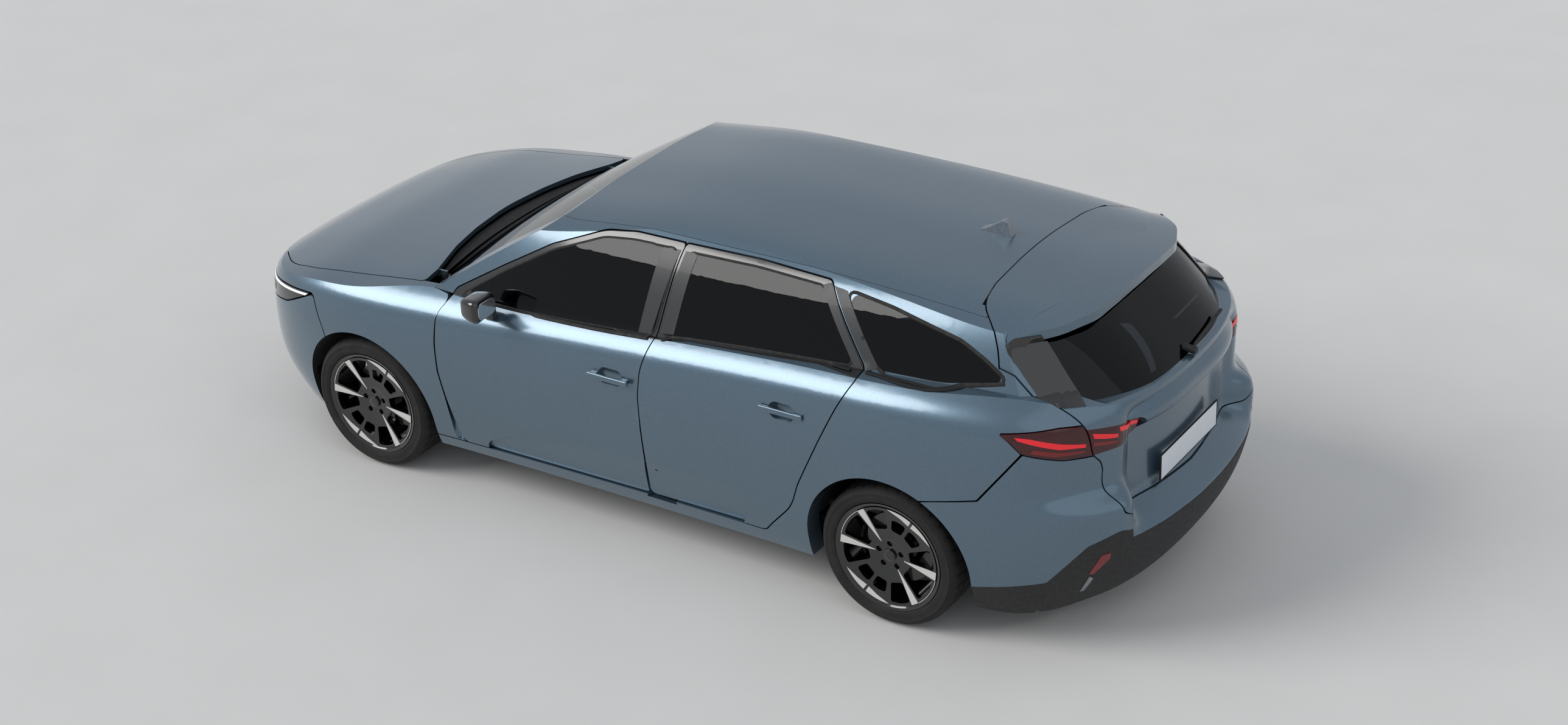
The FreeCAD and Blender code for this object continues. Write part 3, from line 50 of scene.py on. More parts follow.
WHEEL_Z = 0.3185
WHEEL_Y = 0.778
TYRE_RADIUS = 0.3185
TYRE_HALF = 0.1125
SIDES = (("left", 1), ("right", -1))


# Colours and materials

def linear(value):
    """One screen value, 0 to 255, as linear light."""
    return value / 255 / 12.92 if value < 11 else ((value / 255 + 0.055) / 1.055) ** 2.4


def srgb(r, g, b):
    """A linear colour from screen values 0 to 255."""
    return (linear(r), linear(g), linear(b), 1)


def grey(tone, blue):
    """A grey of one screen value with a little more blue."""
    return srgb(tone, tone, tone + blue)


def darker(colour, factor):
    return tuple(v * factor for v in colour[:3]) + (1,)


class Finish:
    """One Principled material with short ways to add procedural nodes."""

    def __init__(self, name, rough=0.5, metal=0.0, coat=0.0, specular=0.5, coat_rough=0.03):
        self.material = bpy.data.materials.new(name)
        self.material.use_nodes = True
        self.tree = self.material.node_tree
        self.shader = self.tree.nodes["Principled BSDF"]
        self.put("Metallic", metal)
        self.put("Roughness", rough)
        self.put("Coat Weight", coat)
        self.put("Coat Roughness", coat_rough)
        self.put("Specular IOR Level", specular)
        self.at = self.node("ShaderNodeTexCoord", {}).outputs["Object"]

    def feed(self, socket, value):
        """Gives a socket a plain value, or links another node's output to it."""
        if isinstance(value, bpy.types.NodeSocket):
            self.tree.links.new(value, socket)
        else:
            socket.default_value = value

    def put(self, socket, value):
        self.feed(self.shader.inputs[socket], value)
        return self

    def node(self, kind, sockets, **values):
        made = self.tree.nodes.new(kind)
        for key, value in values.items():
            setattr(made, key, value)
        for socket, value in sockets.items():
            self.feed(made.inputs[socket], value)
        return made

    def noise(self, scale, detail=3.0):
        sockets = {"Vector": self.at, "Scale": scale, "Detail": detail}
        return self.node("ShaderNodeTexNoise", sockets).outputs["Fac"]

    def cells(self, scale, output="Color"):
        return self.node("ShaderNodeTexVoronoi", {"Vector": self.at, "Scale": scale}).outputs[output]

    def waves(self, scale, axis, distortion=0.0):
        sockets = {"Vector": self.at, "Scale": scale, "Distortion": distortion}
        return self.node("ShaderNodeTexWave", sockets, bands_direction=axis).outputs["Fac"]

    def ramp(self, value, low, high, out_low=0.0, out_high=1.0):
        sockets = {"Value": value, "From Min": low, "From Max": high, "To Min": out_low, "To Max": out_high}
        return self.node("ShaderNodeMapRange", sockets).outputs["Result"]

    def math(self, operation, a, b):
        return self.node("ShaderNodeMath", {0: a, 1: b}, operation=operation).outputs[0]

    def mix(self, value, a, b):
        sockets = {"Factor": value, "A": a, "B": b}
        return self.node("ShaderNodeMix", sockets, data_type="RGBA").outputs["Result"]

    def axis(self, name):
        return self.node("ShaderNodeSeparateXYZ", {0: self.at}).outputs[name]

    def colour(self, value):
        return self.put("Base Color", value)

    def mottled(self, low, high, scale, detail=3.0):
        """A base colour that drifts between two."""
        return self.colour(self.mix(self.noise(scale, detail), low, high))

    def rough_between(self, low, high, scale):
        return self.put("Roughness", self.ramp(self.noise(scale), 0.3, 0.7, low, high))

    def bump(self, height, strength, depth):
        sockets = {"Height": height, "Strength": strength, "Distance": depth}
        return self.put("Normal", self.node("ShaderNodeBump", sockets).outputs["Normal"])

    def pitted(self, scale, detail, strength, depth):
        return self.bump(self.noise(scale, detail), strength, depth)


PAINT_LOW = srgb(70, 91, 107)
PAINT_HIGH = srgb(104, 128, 144)
PAINT_CLOUD = srgb(90, 113, 130)
PAINT_METAL = 0.72
TRIM_BLACK = srgb(16, 17, 19)
BELT_LINE = [(-1.2, 1.076), (-0.93, 1.07), (-0.3, 1.022), (-0.1, 0.998), (0.56, 0.958), (0.9, 0.952),
             (1.1, 0.952)]
BELT_X, BELT_LENGTH = -1.5, 3.0
BELT_Z, BELT_RISE = 0.9, 0.3


def lacquered(name):
    """Metallic paint: fine flakes, soft orange peel, clear lacquer. Gives the finish and its colour."""
    f = Finish(name, rough=0.3, metal=PAINT_METAL, coat=1.0, coat_rough=0.14)
    base = f.mix(f.ramp(f.cells(1400.0), 0.2, 0.9), PAINT_LOW, PAINT_HIGH)
    f.rough_between(0.26, 0.36, 900.0)
    f.pitted(420.0, 1.0, 0.04, 0.0004)
    return f, f.mix(f.ramp(f.noise(3.0, 2.0), 0.35, 0.65, 0.0, 0.25), base, PAINT_CLOUD)


def paint():
    f, colour = lacquered("paint_blue_grey")
    return f.colour(colour).material


def belt_paint():
    """The same paint below the belt line and a dark window frame above it."""
    f, colour = lacquered("paint_with_dark_frame")
    along = f.math("DIVIDE", f.math("SUBTRACT", f.axis("X"), BELT_X), BELT_LENGTH)
    curve = f.node("ShaderNodeFloatCurve", {"Value": along})
    placed = [((x - BELT_X) / BELT_LENGTH, (z - BELT_Z) / BELT_RISE) for x, z in BELT_LINE]
    line = curve.mapping.curves[0]
    line.points[0].location = (0.0, placed[0][1])
    line.points[1].location = (1.0, placed[-1][1])
    for at in placed:
        line.points.new(*at)
    for point in line.points:
        point.handle_type = "VECTOR"
    curve.mapping.update()
    belt = f.math("ADD", f.math("MULTIPLY", curve.outputs[0], BELT_RISE), BELT_Z)
    above = f.math("GREATER_THAN", f.axis("Z"), belt)
    f.put("Metallic", f.math("MULTIPLY", f.math("SUBTRACT", 1.0, above), PAINT_METAL))
    return f.colour(f.mix(above, colour, TRIM_BLACK)).material


def gloss_black(name="gloss_black", tone=14):
    f = Finish(name, rough=0.12, coat=0.8)
    f.mottled(grey(tone - 3, 2), grey(tone + 3, 2), 700.0)
    return f.pitted(300.0, 1.0, 0.03, 0.0003).material


def satin_grey():
    f = Finish("pillar_grey", rough=0.42, coat=0.1)
    f.mottled(srgb(38, 39, 41), srgb(48, 49, 51), 500.0)
    return f.pitted(900.0, 2.0, 0.05, 0.0003).material


def grained(name="grained_plastic", tone=30, rough=0.62):
    """Moulded plastic with a leather-like grain."""
    f = Finish(name, rough=rough)
    f.mottled(grey(tone - 5, 1), grey(tone + 5, 1), 40.0, 4.0)
    f.rough_between(rough - 0.08, rough + 0.1, 60.0)
    return f.bump(f.cells(650.0, "Distance"), 0.35, 0.0006).material


def rubber():
    """Tyre rubber with a little dust."""
    f = Finish("rubber", rough=0.78)
    f.colour(f.mix(f.ramp(f.noise(14.0, 5.0), 0.4, 0.75), srgb(17, 16, 16), srgb(32, 30, 28)))
    f.rough_between(0.7, 0.88, 220.0)
    return f.pitted(500.0, 4.0, 0.2, 0.0006).material


def tinted_glass(name, tint, bend=1.35, specular=0.5):
    f = Finish(name, rough=0.0, specular=specular)
    f.put("Transmission Weight", 1.0)
    f.put("IOR", bend)
    f.mottled(tint, darker(tint, 0.94), 2.0)
    return f.pitted(1.5, 1.0, 0.01, 0.002).material


def cast_metal(name, low, high, rough):
    f = Finish(name, rough=rough, metal=0.9)
    f.mottled(low, high, 60.0, 5.0)
    f.rough_between(rough - 0.1, rough + 0.12, 180.0)
    return f.pitted(480.0, 4.0, 0.15, 0.0006).material


def machined():
    """Turned aluminium under clear lacquer."""
    f = Finish("machined_face", rough=0.3, metal=0.55, coat=0.4)
    f.mottled(srgb(212, 209, 205), srgb(232, 229, 225), 900.0)
    return f.pitted(1500.0, 2.0, 0.08, 0.0002).material


def weave(name, low, high, scale=900.0):
    """Woven cloth with a little fuzz."""
    f = Finish(name, rough=0.85)
    f.put("Sheen Weight", 0.3)
    f.put("Sheen Roughness", 0.5)
    threads = f.math("MULTIPLY", f.waves(scale / 3.2, "X", 1.0), f.waves(scale / 3.2, "Z", 1.0))
    wear = f.ramp(f.noise(9.0, 4.0), 0.3, 0.7, -0.15, 0.15)
    f.colour(f.mix(f.math("ADD", threads, wear), low, high))
    return f.bump(threads, 0.5, 0.0006).material


def leather():
    f = Finish("seat_leather", rough=0.5)
    f.mottled(grey(24, 2), grey(38, 3), 12.0, 4.0)
    f.rough_between(0.42, 0.6, 120.0)
    return f.bump(f.cells(420.0, "Distance"), 0.4, 0.0007).material


def lit(name, colour, strength, rough):
    """A lens over a lamp: coloured and a little self-lit. On a reflector that has no lamp, the faint glow is
    a painted glow.
    """
    f = Finish(name, rough=rough, coat=0.5, specular=0.35)
    f.colour(f.mix(f.waves(180.0, "Z"), colour, darker(colour, 0.8)))
    f.put("Emission Color", colour)
    f.put("Emission Strength", strength)
    return f.bump(f.waves(260.0, "X"), 0.1, 0.0004).material


def mesh_grille():
    f = Finish("grille_pattern", rough=0.3, coat=0.3)
    f.mottled(grey(14, 2), grey(24, 3), 200.0)
    return f.bump(f.cells(90.0, "Distance"), 0.4, 0.002).material


def plate_white():
    f = Finish("plate_pale", rough=0.35, coat=0.3)
    f.mottled(srgb(216, 220, 226), srgb(230, 233, 238), 30.0)
    return f.bump(f.cells(260.0, "Distance"), 0.06, 0.0004).material


M = {
    "paint": paint(),
    "belt_paint": belt_paint(),
    "gloss": gloss_black(),
    "grey": satin_grey(),
    "black": grained(),
    "liner": grained("arch_liner", 18, 0.85),
    "under": grained("underbody_coat", 24, 0.8),
    "rubber": rubber(),
    "seal": grained("window_seal", 15, 0.7),
    "glass": tinted_glass("dark_glass", srgb(70, 77, 82)),
    "back_glass": tinted_glass("privacy_glass", srgb(52, 58, 64)),
    "screen": tinted_glass("windscreen_glass", srgb(112, 124, 128), 1.3, 0.15),
    "finisher": gloss_black("pillar_finisher", 17),
    "lamp_dark": gloss_black("lamp_bezel", 20),
    "mirror": cast_metal("mirror_silver", srgb(222, 226, 230), srgb(232, 235, 238), 0.02),
    "silver": cast_metal("silver_paint", srgb(132, 138, 144), srgb(160, 166, 172), 0.3),
    "stitch": grained("seam_piping", 44, 0.6),
    "rim": gloss_black("rim_black", 7),
    "machined": machined(),
    "steel": cast_metal("brake_steel", grey(88, 2), srgb(120, 119, 118), 0.35),
    "iron": cast_metal("cast_iron", srgb(60, 59, 58), srgb(84, 82, 80), 0.6),
    "alloy": cast_metal("plain_alloy", srgb(140, 142, 145), srgb(170, 172, 175), 0.35),
    "cloth": weave("seat_cloth", srgb(30, 31, 34), srgb(58, 60, 64)),
    "leather": leather(),
    "trim": grained("cabin_trim", 34, 0.68),
    "light_trim": weave("headlining", grey(120, -2), grey(150, -3), 1400.0),
    "carpet": weave("carpet", grey(22, 2), grey(44, 3), 500.0),
    "lens_red": lit("lamp_dark_red", srgb(64, 5, 10), 0.0, 0.1),
    "claw": lit("lamp_bright_red", srgb(206, 26, 36), 0.4, 0.25),
    # the red reflector material glows faintly: inside the tail lamps that is lamp light, but on the bumper's
    # reflectors, which have no lamp, it is a painted glow
    "reflector": lit("reflector_red", srgb(120, 14, 20), 0.05, 0.2),
    "white_lamp": lit("lamp_white", srgb(238, 242, 246), 0.5, 0.2),
    "grille": mesh_grille(),
    "plate": plate_white(),
}


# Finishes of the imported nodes

INNER_LIMIT = -0.2
SIDE_FINISHES = (
    "body_side paint trim", "wing paint liner", "door_front belt_paint trim", "door_rear belt_paint trim",
    "door_front_glass glass", "door_rear_glass back_glass", "mirror gloss", "headlamp lamp_dark",
    "knuckle iron", "front_seat leather", "tyre_front rubber", "tyre_rear rubber", "rim_front rim",
    "rim_rear rim",
)
MIDDLE_FINISHES = (
    "front_bumper paint liner", "rear_bumper paint liner", "tailgate paint trim", "bonnet paint",
    "roof_panel paint light_trim", "rear_valance black", "grille grille", "tailgate_lamps lens_red",
    "rear_lamps lens_red", "quarter_glass back_glass", "windscreen screen", "back_glass back_glass",
    "cowl liner", "underbody under", "dashboard trim", "steering_wheel leather", "rear_seat leather",
    "engine black", "front_frame iron", "rear_frame iron", "under_floor steel", "antenna silver",
    "rear_wiper black", "rear_plate plate",
)


def outward(name):
    """The direction that is outside for a shell node."""
    if name == "roof_panel":
        return lambda p: Vector((0, 0, 1))
    if name in ("tailgate", "rear_bumper", "front_bumper"):
        way = 1 if name == "front_bumper" else -1
        return lambda p: Vector((way, 0.6 * p.y / 0.9, 0.25)).normalized()
    return lambda p: Vector((0, 1 if p.y > 0 else -1, 0.2)).normalized()


def finish_node(name, outer, inner=None):
    """Gives a node its outer material, and another one to the faces that look inwards."""
    mesh = NODES[name].data
    mesh.materials.clear()
    for material in (outer, inner) if inner else (outer,):
        mesh.materials.append(M[material])
    direction = outward(name)
    for polygon in mesh.polygons:
        hidden = inner and polygon.normal.dot(direction(polygon.center)) < INNER_LIMIT
        polygon.material_index = 1 if hidden else 0


def finish_nodes():
    """Reads the two lists: a node, or its name without the side, then its outer and inner material."""
    for line in MIDDLE_FINISHES:
        finish_node(*line.split())
    for line in SIDE_FINISHES:
        stem, *finishes = line.split()
        for side, _ in SIDES:
            finish_node(f"{stem}_{side}", *finishes)


finish_nodes()


# Small modelling kit

PIECE_SHARP = 38
BAR_SHARP = 50
HIT_SPREAD = 0.006
HIT_DEPTH = 0.004
OUTSIDE_Y = 1.3
PATCH_SINK = 0.0015
STRIP_SINK = 0.002
# The two ends for on_end: x of the upright axis, the way it looks, how far off its rays start
TAIL = (-1.45, -1, 1.4)
NOSE = (1.4, 1, 1.5)
DEGREE = 0.0125


def linked(name, data):
    """An object made of some data and put into the scene."""
    made = bpy.data.objects.new(name, data)
    bpy.context.scene.collection.objects.link(made)
    return made


def riding(name, mesh, material, body, slot, sharp):
    """Makes a mesh a piece that rides on a body; edges flatter than the sharp angle look smooth."""
    mesh.materials.append(M[material])
    if sharp:
        mesh.polygons.foreach_set("use_smooth", [True] * len(mesh.polygons))
        mesh.set_sharp_from_angle(angle=math.radians(sharp))
    made = linked(name, mesh)
    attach(made, body)
    return made


def piece(name, verts, faces, material, body, slot, sharp=PIECE_SHARP):
    mesh = bpy.data.meshes.new(name)
    mesh.from_pydata([tuple(v) for v in verts], [], [tuple(f) for f in faces])
    mesh.validate()
    build = bmesh.new()
    build.from_mesh(mesh)
    bmesh.ops.recalc_face_normals(build, faces=build.faces)
    build.to_mesh(mesh)
    build.free()
    return riding(name, mesh, material, body, slot, sharp)


def bar(name, low, high, material, slot, bevel=0.002, body="body"):
    """A bevelled rectangular bar between two corners."""
    build = bmesh.new()
    bmesh.ops.create_cube(build, size=1.0)
    size = [b - a for a, b in zip(low, high)]
    for v in build.verts:
        v.co = Vector([a + (c + 0.5) * d for a, c, d in zip(low, v.co, size)])
    bevel = min(bevel, min(size) * 0.3)
    bmesh.ops.bevel(build, geom=build.edges[:], offset=bevel, segments=2, affect="EDGES")
    mesh = bpy.data.meshes.new(name)
    build.to_mesh(mesh)
    build.free()
    return riding(name, mesh, material, body, slot, BAR_SHARP)


def both_sides(make):
    """Runs make(side name, sign) for the left and the right."""
    for side, sign in SIDES:
        make(side, sign)


def ring_faces(count, rings, looped=False):
    """Quads between rings of count points each; looped joins the last ring to the first."""
    faces = []
    for j in range(rings if looped else rings - 1):
        low, high = j * count, (j + 1) % rings * count
        for i in range(count):
            k = (i + 1) % count
            faces.append((low + i, low + k, high + k, high + i))
    return faces


def ring_end(count, ring):
    """The face that closes one ring."""
    return tuple(range(ring * count, ring * count + count))


def surface_of(*names):
    """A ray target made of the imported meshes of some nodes."""
    verts, faces = [], []
    for name in names:
        mesh = NODES[name].data
        start = len(verts)
        verts += [v.co.copy() for v in mesh.vertices]
        faces += [[start + i for i in p.vertices] for p in mesh.polygons]
    return BVHTree.FromPolygons(verts, faces)


def skin_hit(target, start, direction):
    """Where a ray meets a surface; four close rays keep a shut gap from pulling it inwards."""
    across = direction.orthogonal().normalized()
    upward = direction.cross(across)
    hits = []
    for a, b in ((0, 0), (HIT_SPREAD, 0), (-HIT_SPREAD, 0), (0, HIT_SPREAD), (0, -HIT_SPREAD)):
        _, normal, _, far = target.ray_cast(start + across * a + upward * b, direction)
        if normal is not None:
            hits.append((far, a == b == 0, normal))
    if not hits:
        return None, None
    near = min(hits, key=lambda h: h[0])
    middle = [h for h in hits if h[1] and h[0] - near[0] < HIT_DEPTH]
    far, _, normal = middle[0] if middle else near
    return start + direction * far, normal


def on_side(target, x, z, sign):
    """The outermost point of a target at x and z on one side."""
    return skin_hit(target, Vector((x, sign * OUTSIDE_Y, z)), Vector((0, -sign, 0)))


def on_end(target, end, angle, z, sign):
    """A point of the tail or nose seen from an upright axis; 0 degrees is straight along, 90 to the side."""
    axis_x, way, far = end
    a = math.radians(angle)
    out = Vector((way * math.cos(a), sign * math.sin(a), 0))
    return skin_hit(target, Vector((axis_x, 0, z)) + out * far, -out)


def smooth_line(points, steps):
    """A Catmull-Rom line through points."""
    points = [Vector(p) for p in points]
    ends = points[:1] + points + points[-1:]
    out = []
    for a, b, c, d in zip(ends, ends[1:], ends[2:], ends[3:]):
        for s in range(steps):
            t = s / steps
            out.append(0.5 * ((2 * b) + (c - a) * t + (2 * a - 5 * b + 4 * c - d) * t * t
                              + (3 * b - a - 3 * c + d) * t ** 3))
    return out + points[-1:]


def strip(name, centre, normals, width, height, body, slot, closed=False, sink=STRIP_SINK):
    """A raised strip along 3-D points: a flat top with sloped edges that sink a little into the base."""
    count = len(centre)
    half = ((-1, -sink), (-0.92, height * 0.7), (-0.7, height))
    section = half + tuple((-across, up) for across, up in reversed(half))
    verts = []
    for i, (p, n) in enumerate(zip(centre, normals)):
        before = centre[i - 1] if closed else centre[max(i - 1, 0)]
        after = centre[(i + 1) % count] if closed else centre[min(i + 1, count - 1)]
        side = (after - before).normalized().cross(n).normalized()
        for across, up in section:
            verts.append(p + side * (across * width / 2) + n * up)
    faces = ring_faces(len(section), count, closed)
    if not closed:
        faces += [ring_end(len(section), 0), ring_end(len(section), count - 1)]
    piece(name, verts, faces, "seal", body, slot)


def dense(points, step):
    """A closed outline with points no further apart than about a step."""
    out = []
    for i, p in enumerate(points):
        a, b = Vector(p), Vector(points[(i + 1) % len(points)])
        count = max(1, int((b - a).length / step))
        out += [a.lerp(b, k / count) for k in range(count)]
    return out


def patch(name, outline, place, thick, material, body, slot, step=0.02):
    """A thin plate laid on a surface: a flat outline, filled with a grid, sent to 3-D by place(u, v)."""
    edge = dense(outline, step)
    low = Vector((min(p.x for p in edge), min(p.y for p in edge)))
    high = Vector((max(p.x for p in edge), max(p.y for p in edge)))
    inner = []
    for i in range(1, int((high.x - low.x) / step) + 1):
        for j in range(1, int((high.y - low.y) / step) + 1):
            p = Vector((low.x + i * step, low.y + j * step))
            if inside(p, edge) and min((p - e).length for e in edge) > step * 0.45:
                inner.append(p)
    points, _, tris, _, _, _ = delaunay_2d_cdt(edge + inner, [], [list(range(len(edge)))], 1, 1e-6)
    top, under = [], []
    for p in points:
        at, normal = place(p.x, p.y)
        if at is None:
            raise ValueError(f"{name}: no surface at {p.x:.3f}, {p.y:.3f}")
        top.append(at + normal * thick)
        under.append(at - normal * PATCH_SINK)
    total = len(top)
    faces = [tuple(t) for t in tris] + [tuple(total + i for i in reversed(t)) for t in tris]
    faces += [(a, b, total + b, total + a) for a, b in edge_loop(tris)]
    piece(name, top + under, faces, material, body, slot)


def end_patch(name, outline, target, end, sign, thick, material, body, slot, step=0.012):
    """A thin plate laid on the tail or the nose; the outline is (angle, height)."""
    flat = [(a * DEGREE, z) for a, z in outline]

    def place(u, v):
        return on_end(target, end, u / DEGREE, v, sign)

    patch(name, flat, place, thick, material, body, slot, step)


def inside(p, polygon):
    hit = False
    count = len(polygon)
    for i in range(count):
        a, b = polygon[i], polygon[(i + 1) % count]
        if (a.y > p.y) != (b.y > p.y) and p.x < (b.x - a.x) * (p.y - a.y) / (b.y - a.y) + a.x:
            hit = not hit
    return hit


def edge_loop(tris):
    """The edges used by only one triangle, in their own direction."""
    pairs = [(a, b) for t in tris for a, b in zip(t, t[1:] + t[:1])]
    seen = set(pairs)
    return [(a, b) for a, b in pairs if (b, a) not in seen]


def tube_along(name, points, radius, material, slot, sides=10):
    """A round bar through points."""
    points = [Vector(p) for p in points]
    verts = []
    for i, p in enumerate(points):
        along = (points[min(i + 1, len(points) - 1)] - points[max(i - 1, 0)]).normalized()
        side = along.cross(Vector((0, 0, 1)))
        side = side.normalized() if side.length > 0.05 else Vector((0, 1, 0))
        other = side.cross(along).normalized()
        for k in range(sides):
            a = 2 * math.pi * k / sides
            verts.append(p + side * (radius * math.cos(a)) + other * (radius * math.sin(a)))
    ends = [ring_end(sides, 0), ring_end(sides, len(points) - 1)]
    piece(name, verts, ring_faces(sides, len(points)) + ends, material, "body", slot)


# Wheels

SIDEWALL = [(0.2452, 0.0142), (0.2485, 0.0075), (0.254, 0.0045), (0.2565, 0.003), (0.262, 0.003),
            (0.2632, 0.0018), (0.275, 0.0008), (0.288, 0.0014), (0.2892, 0.0006), (0.2915, 0.0006),
            (0.2925, 0.002), (0.301, 0.0056), (0.3075, 0.013), (0.3118, 0.0192)]
TYRE_SEGMENTS = 216
GROOVES = (0.062, 0.022, -0.022, -0.062)
GROOVE_DEPTH = 0.0068
GROOVE_TOP = 0.0052
GROOVE_FLOOR = 0.004
SIPE_DEPTH = 0.0042
SPOKE_ARCS = ((2.2, 11.8), (52.0, 61.0))
WEDGE_ARCS = ((90.5, 119.6), (152.0, 122.8))
FACE_STEPS = [(0.03, 0.0785), (0.08, 0.0865), (0.18, 0.0945), (0.226, 0.1005)]
FACET_RADIUS = 0.2245
FACET_LIFT = 0.0008
FACET_SINK = -0.002
BOLT_CIRCLE = 0.054
BOLT_RINGS = ((0.0096, 0.052), (0.0096, 0.0695), (0.0084, 0.0715), (0.003, 0.0722), (0.003, 0.0702))
CAP_RINGS = ((0.0268, 0.084), (0.0268, 0.0885), (0.0245, 0.0902), (0.012, 0.0908), (0.0115, 0.0898),
             (0.0002, 0.0897))
CAP_SEGMENTS = 40


def wheel_point(x, z, sign, radius, angle, y):
    """A point on a circle about x and z; y is counted outwards from the wheel's middle."""
    return Vector((x + radius * math.cos(angle), sign * (WHEEL_Y + y), z + radius * math.sin(angle)))


def crown(y):
    """The tyre's outer radius at a distance from its middle."""
    return TYRE_RADIUS - 0.0012 * (abs(y) / 0.08) ** 2


def tyre_rows():
    """The tyre's section as (radius, place across it, in the tread): sidewalls, shoulders, ribs, grooves."""
    wall = [(r, TYRE_HALF - inwards, 0) for r, inwards in SIDEWALL]
    lip = TYRE_HALF - 0.0245
    rows = wall + [(0.3155, lip, 1), (0.3172, lip - 0.006, 1)]
    for g in GROOVES:
        floor = crown(g) - GROOVE_DEPTH
        rows += [(crown(g + GROOVE_TOP), g + GROOVE_TOP, 1), (floor, g + GROOVE_FLOOR, 0),
                 (floor, g - GROOVE_FLOOR, 0), (crown(g - GROOVE_TOP), g - GROOVE_TOP, 1)]
    rows += [(0.3172, 0.006 - lip, 1), (0.3155, -lip, 1)]
    return rows + [(r, -y, 0) for r, y, _ in reversed(wall)]


def tyre_piece(wheel, sign, x):
    """The tyre with its sidewall rings, four grooves round it and sipes across the ribs."""
    rows = tyre_rows()
    verts = []
    for r, y, tread in rows:
        for i in range(TYRE_SEGMENTS):
            a = 2 * math.pi * (i + 0.35 * math.sin(y * 60)) / TYRE_SEGMENTS
            low = SIPE_DEPTH if tread and i % 6 == 0 else 0.0
            verts.append(wheel_point(x, WHEEL_Z, sign, r - low, a, y))
    faces = ring_faces(TYRE_SEGMENTS, len(rows), looped=True)
    made = piece("tyre_detail_" + wheel, verts, faces, "rubber", "wheel_" + wheel, "tyre")
    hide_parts("tyre_" + wheel)


def face_y(r):
    """How far out the rim's face stands at a radius."""
    for (a, ya), (b, yb) in zip(FACE_STEPS, FACE_STEPS[1:]):
        if r <= b:
            return ya + (yb - ya) * (r - a) / (b - a)
    return FACE_STEPS[-1][1]


def polar_plate(name, outline, wheel, sign, x):
    """A bright plate on the rim's face; the outline is (radius, angle in degrees)."""
    verts = [wheel_point(x, WHEEL_Z, sign, r, math.radians(a), face_y(r) + lift)
             for lift in (FACET_LIFT, FACET_SINK) for r, a in outline]
    count = len(outline)
    faces = [ring_end(count, 0), ring_end(count, 1)[::-1]] + ring_faces(count, 2)
    piece(f"{name}_{wheel}", verts, faces, "machined", "wheel_" + wheel, "alloy", sharp=None)


def arc(radius, start, end, steps):
    return [(radius, start + (end - start) * i / steps) for i in range(steps + 1)]


def wheel_facets(*wheel):
    """The machined faces of spokes and wedges and the bright arc on the lip, twice round the rim."""
    for half, turn in enumerate((0, 180)):
        outlines = []
        for low, high in SPOKE_ARCS:
            middle = (low + high) / 2 + turn
            tip = arc(FACET_RADIUS, low + turn, high + turn, 4)
            outlines.append([(0.068, middle - 1.2)] + tip + [(0.068, middle + 1.2)])
        for tip, split in WEDGE_ARCS:
            outline = arc(FACET_RADIUS, tip + turn, split + turn, 8)
            outline += [(0.197, split + turn), (0.2065, (0.55 * split + 0.45 * tip) + turn)]
            outlines.append(outline if tip < split else outline[::-1])
        for number, outline in enumerate(outlines):
            polar_plate(f"rim_facet_{4 * half + number}", outline, *wheel)
        lip = arc(0.2262, 12.5 + turn, 51.5 + turn, 12) + arc(0.2238, 51.5 + turn, 12.5 + turn, 12)
        polar_plate(f"rim_lip_{half}", lip, *wheel)


def wheel_centre(wheel, sign, x):
    """Wheel bolts with hexagon heads and the small centre cap."""
    body = "wheel_" + wheel
    for i in range(5):
        a = math.radians(90 + 72 * i)
        bolt_x, bolt_z = x + BOLT_CIRCLE * math.cos(a), WHEEL_Z + BOLT_CIRCLE * math.sin(a)
        verts = []
        for r, y in BOLT_RINGS:
            for k in range(12):
                shape = r * 0.9 if k % 2 and r > 0.005 else r
                verts.append(wheel_point(bolt_x, bolt_z, sign, shape, math.pi * k / 6, y))
        faces = ring_faces(12, len(BOLT_RINGS)) + [ring_end(12, 0), ring_end(12, len(BOLT_RINGS) - 1)]
        piece(f"wheel_bolt_{i}_{wheel}", verts, faces, "steel", body, "steel")
    verts = [wheel_point(x, WHEEL_Z, sign, r, 2 * math.pi * k / CAP_SEGMENTS, y)
             for r, y in CAP_RINGS for k in range(CAP_SEGMENTS)]
    faces = ring_faces(CAP_SEGMENTS, len(CAP_RINGS)) + [ring_end(CAP_SEGMENTS, 0)]
    piece("wheel_cap_" + wheel, verts, faces, "finisher", body, "alloy")


def wheels():
    for side, sign in SIDES:
        for end, x in (("front", AXLE_FRONT), ("rear", AXLE_REAR)):
            for make in (tyre_piece, wheel_facets, wheel_centre):
                make(f"{end}_{side}", sign, x)


wheels()


# Window seals and pillar panels; outlines and lines are (x, z)

WINDOWS = {
    "front": [
        (0.9, 0.964), (0.68, 1.106), (0.445, 1.237), (0.205, 1.327), (0.06, 1.341), (-0.162, 1.345),
        (-0.17, 1.335), (-0.127, 1.022), (-0.112, 1.009), (0.561, 0.97)],
    "rear": [
        (-0.22, 1.345), (-0.56, 1.351), (-0.868, 1.343), (-0.89, 1.332), (-1.076, 1.106), (-1.08, 1.092),
        (-0.921, 1.084), (-0.288, 1.036), (-0.178, 1.019), (-0.168, 1.028), (-0.211, 1.335)],
    "quarter": [
        (-1.188, 1.112), (-1.2, 1.098), (-1.484, 1.11), (-1.736, 1.156), (-1.74, 1.166), (-1.64, 1.222),
        (-1.53, 1.268), (-1.209, 1.322), (-1.0, 1.343), (-1.0, 1.333)],
}
BELTS = {
    "front": [(0.9, 0.96), (0.561, 0.963), (0.2, 0.98), (-0.108, 1.003)],
    "rear": [(-0.176, 1.012), (-0.288, 1.029), (-0.6, 1.056), (-0.921, 1.077), (-1.082, 1.084)],
    "quarter": [(-1.152, 1.089), (-1.205, 1.091), (-1.484, 1.103), (-1.742, 1.152)],
}
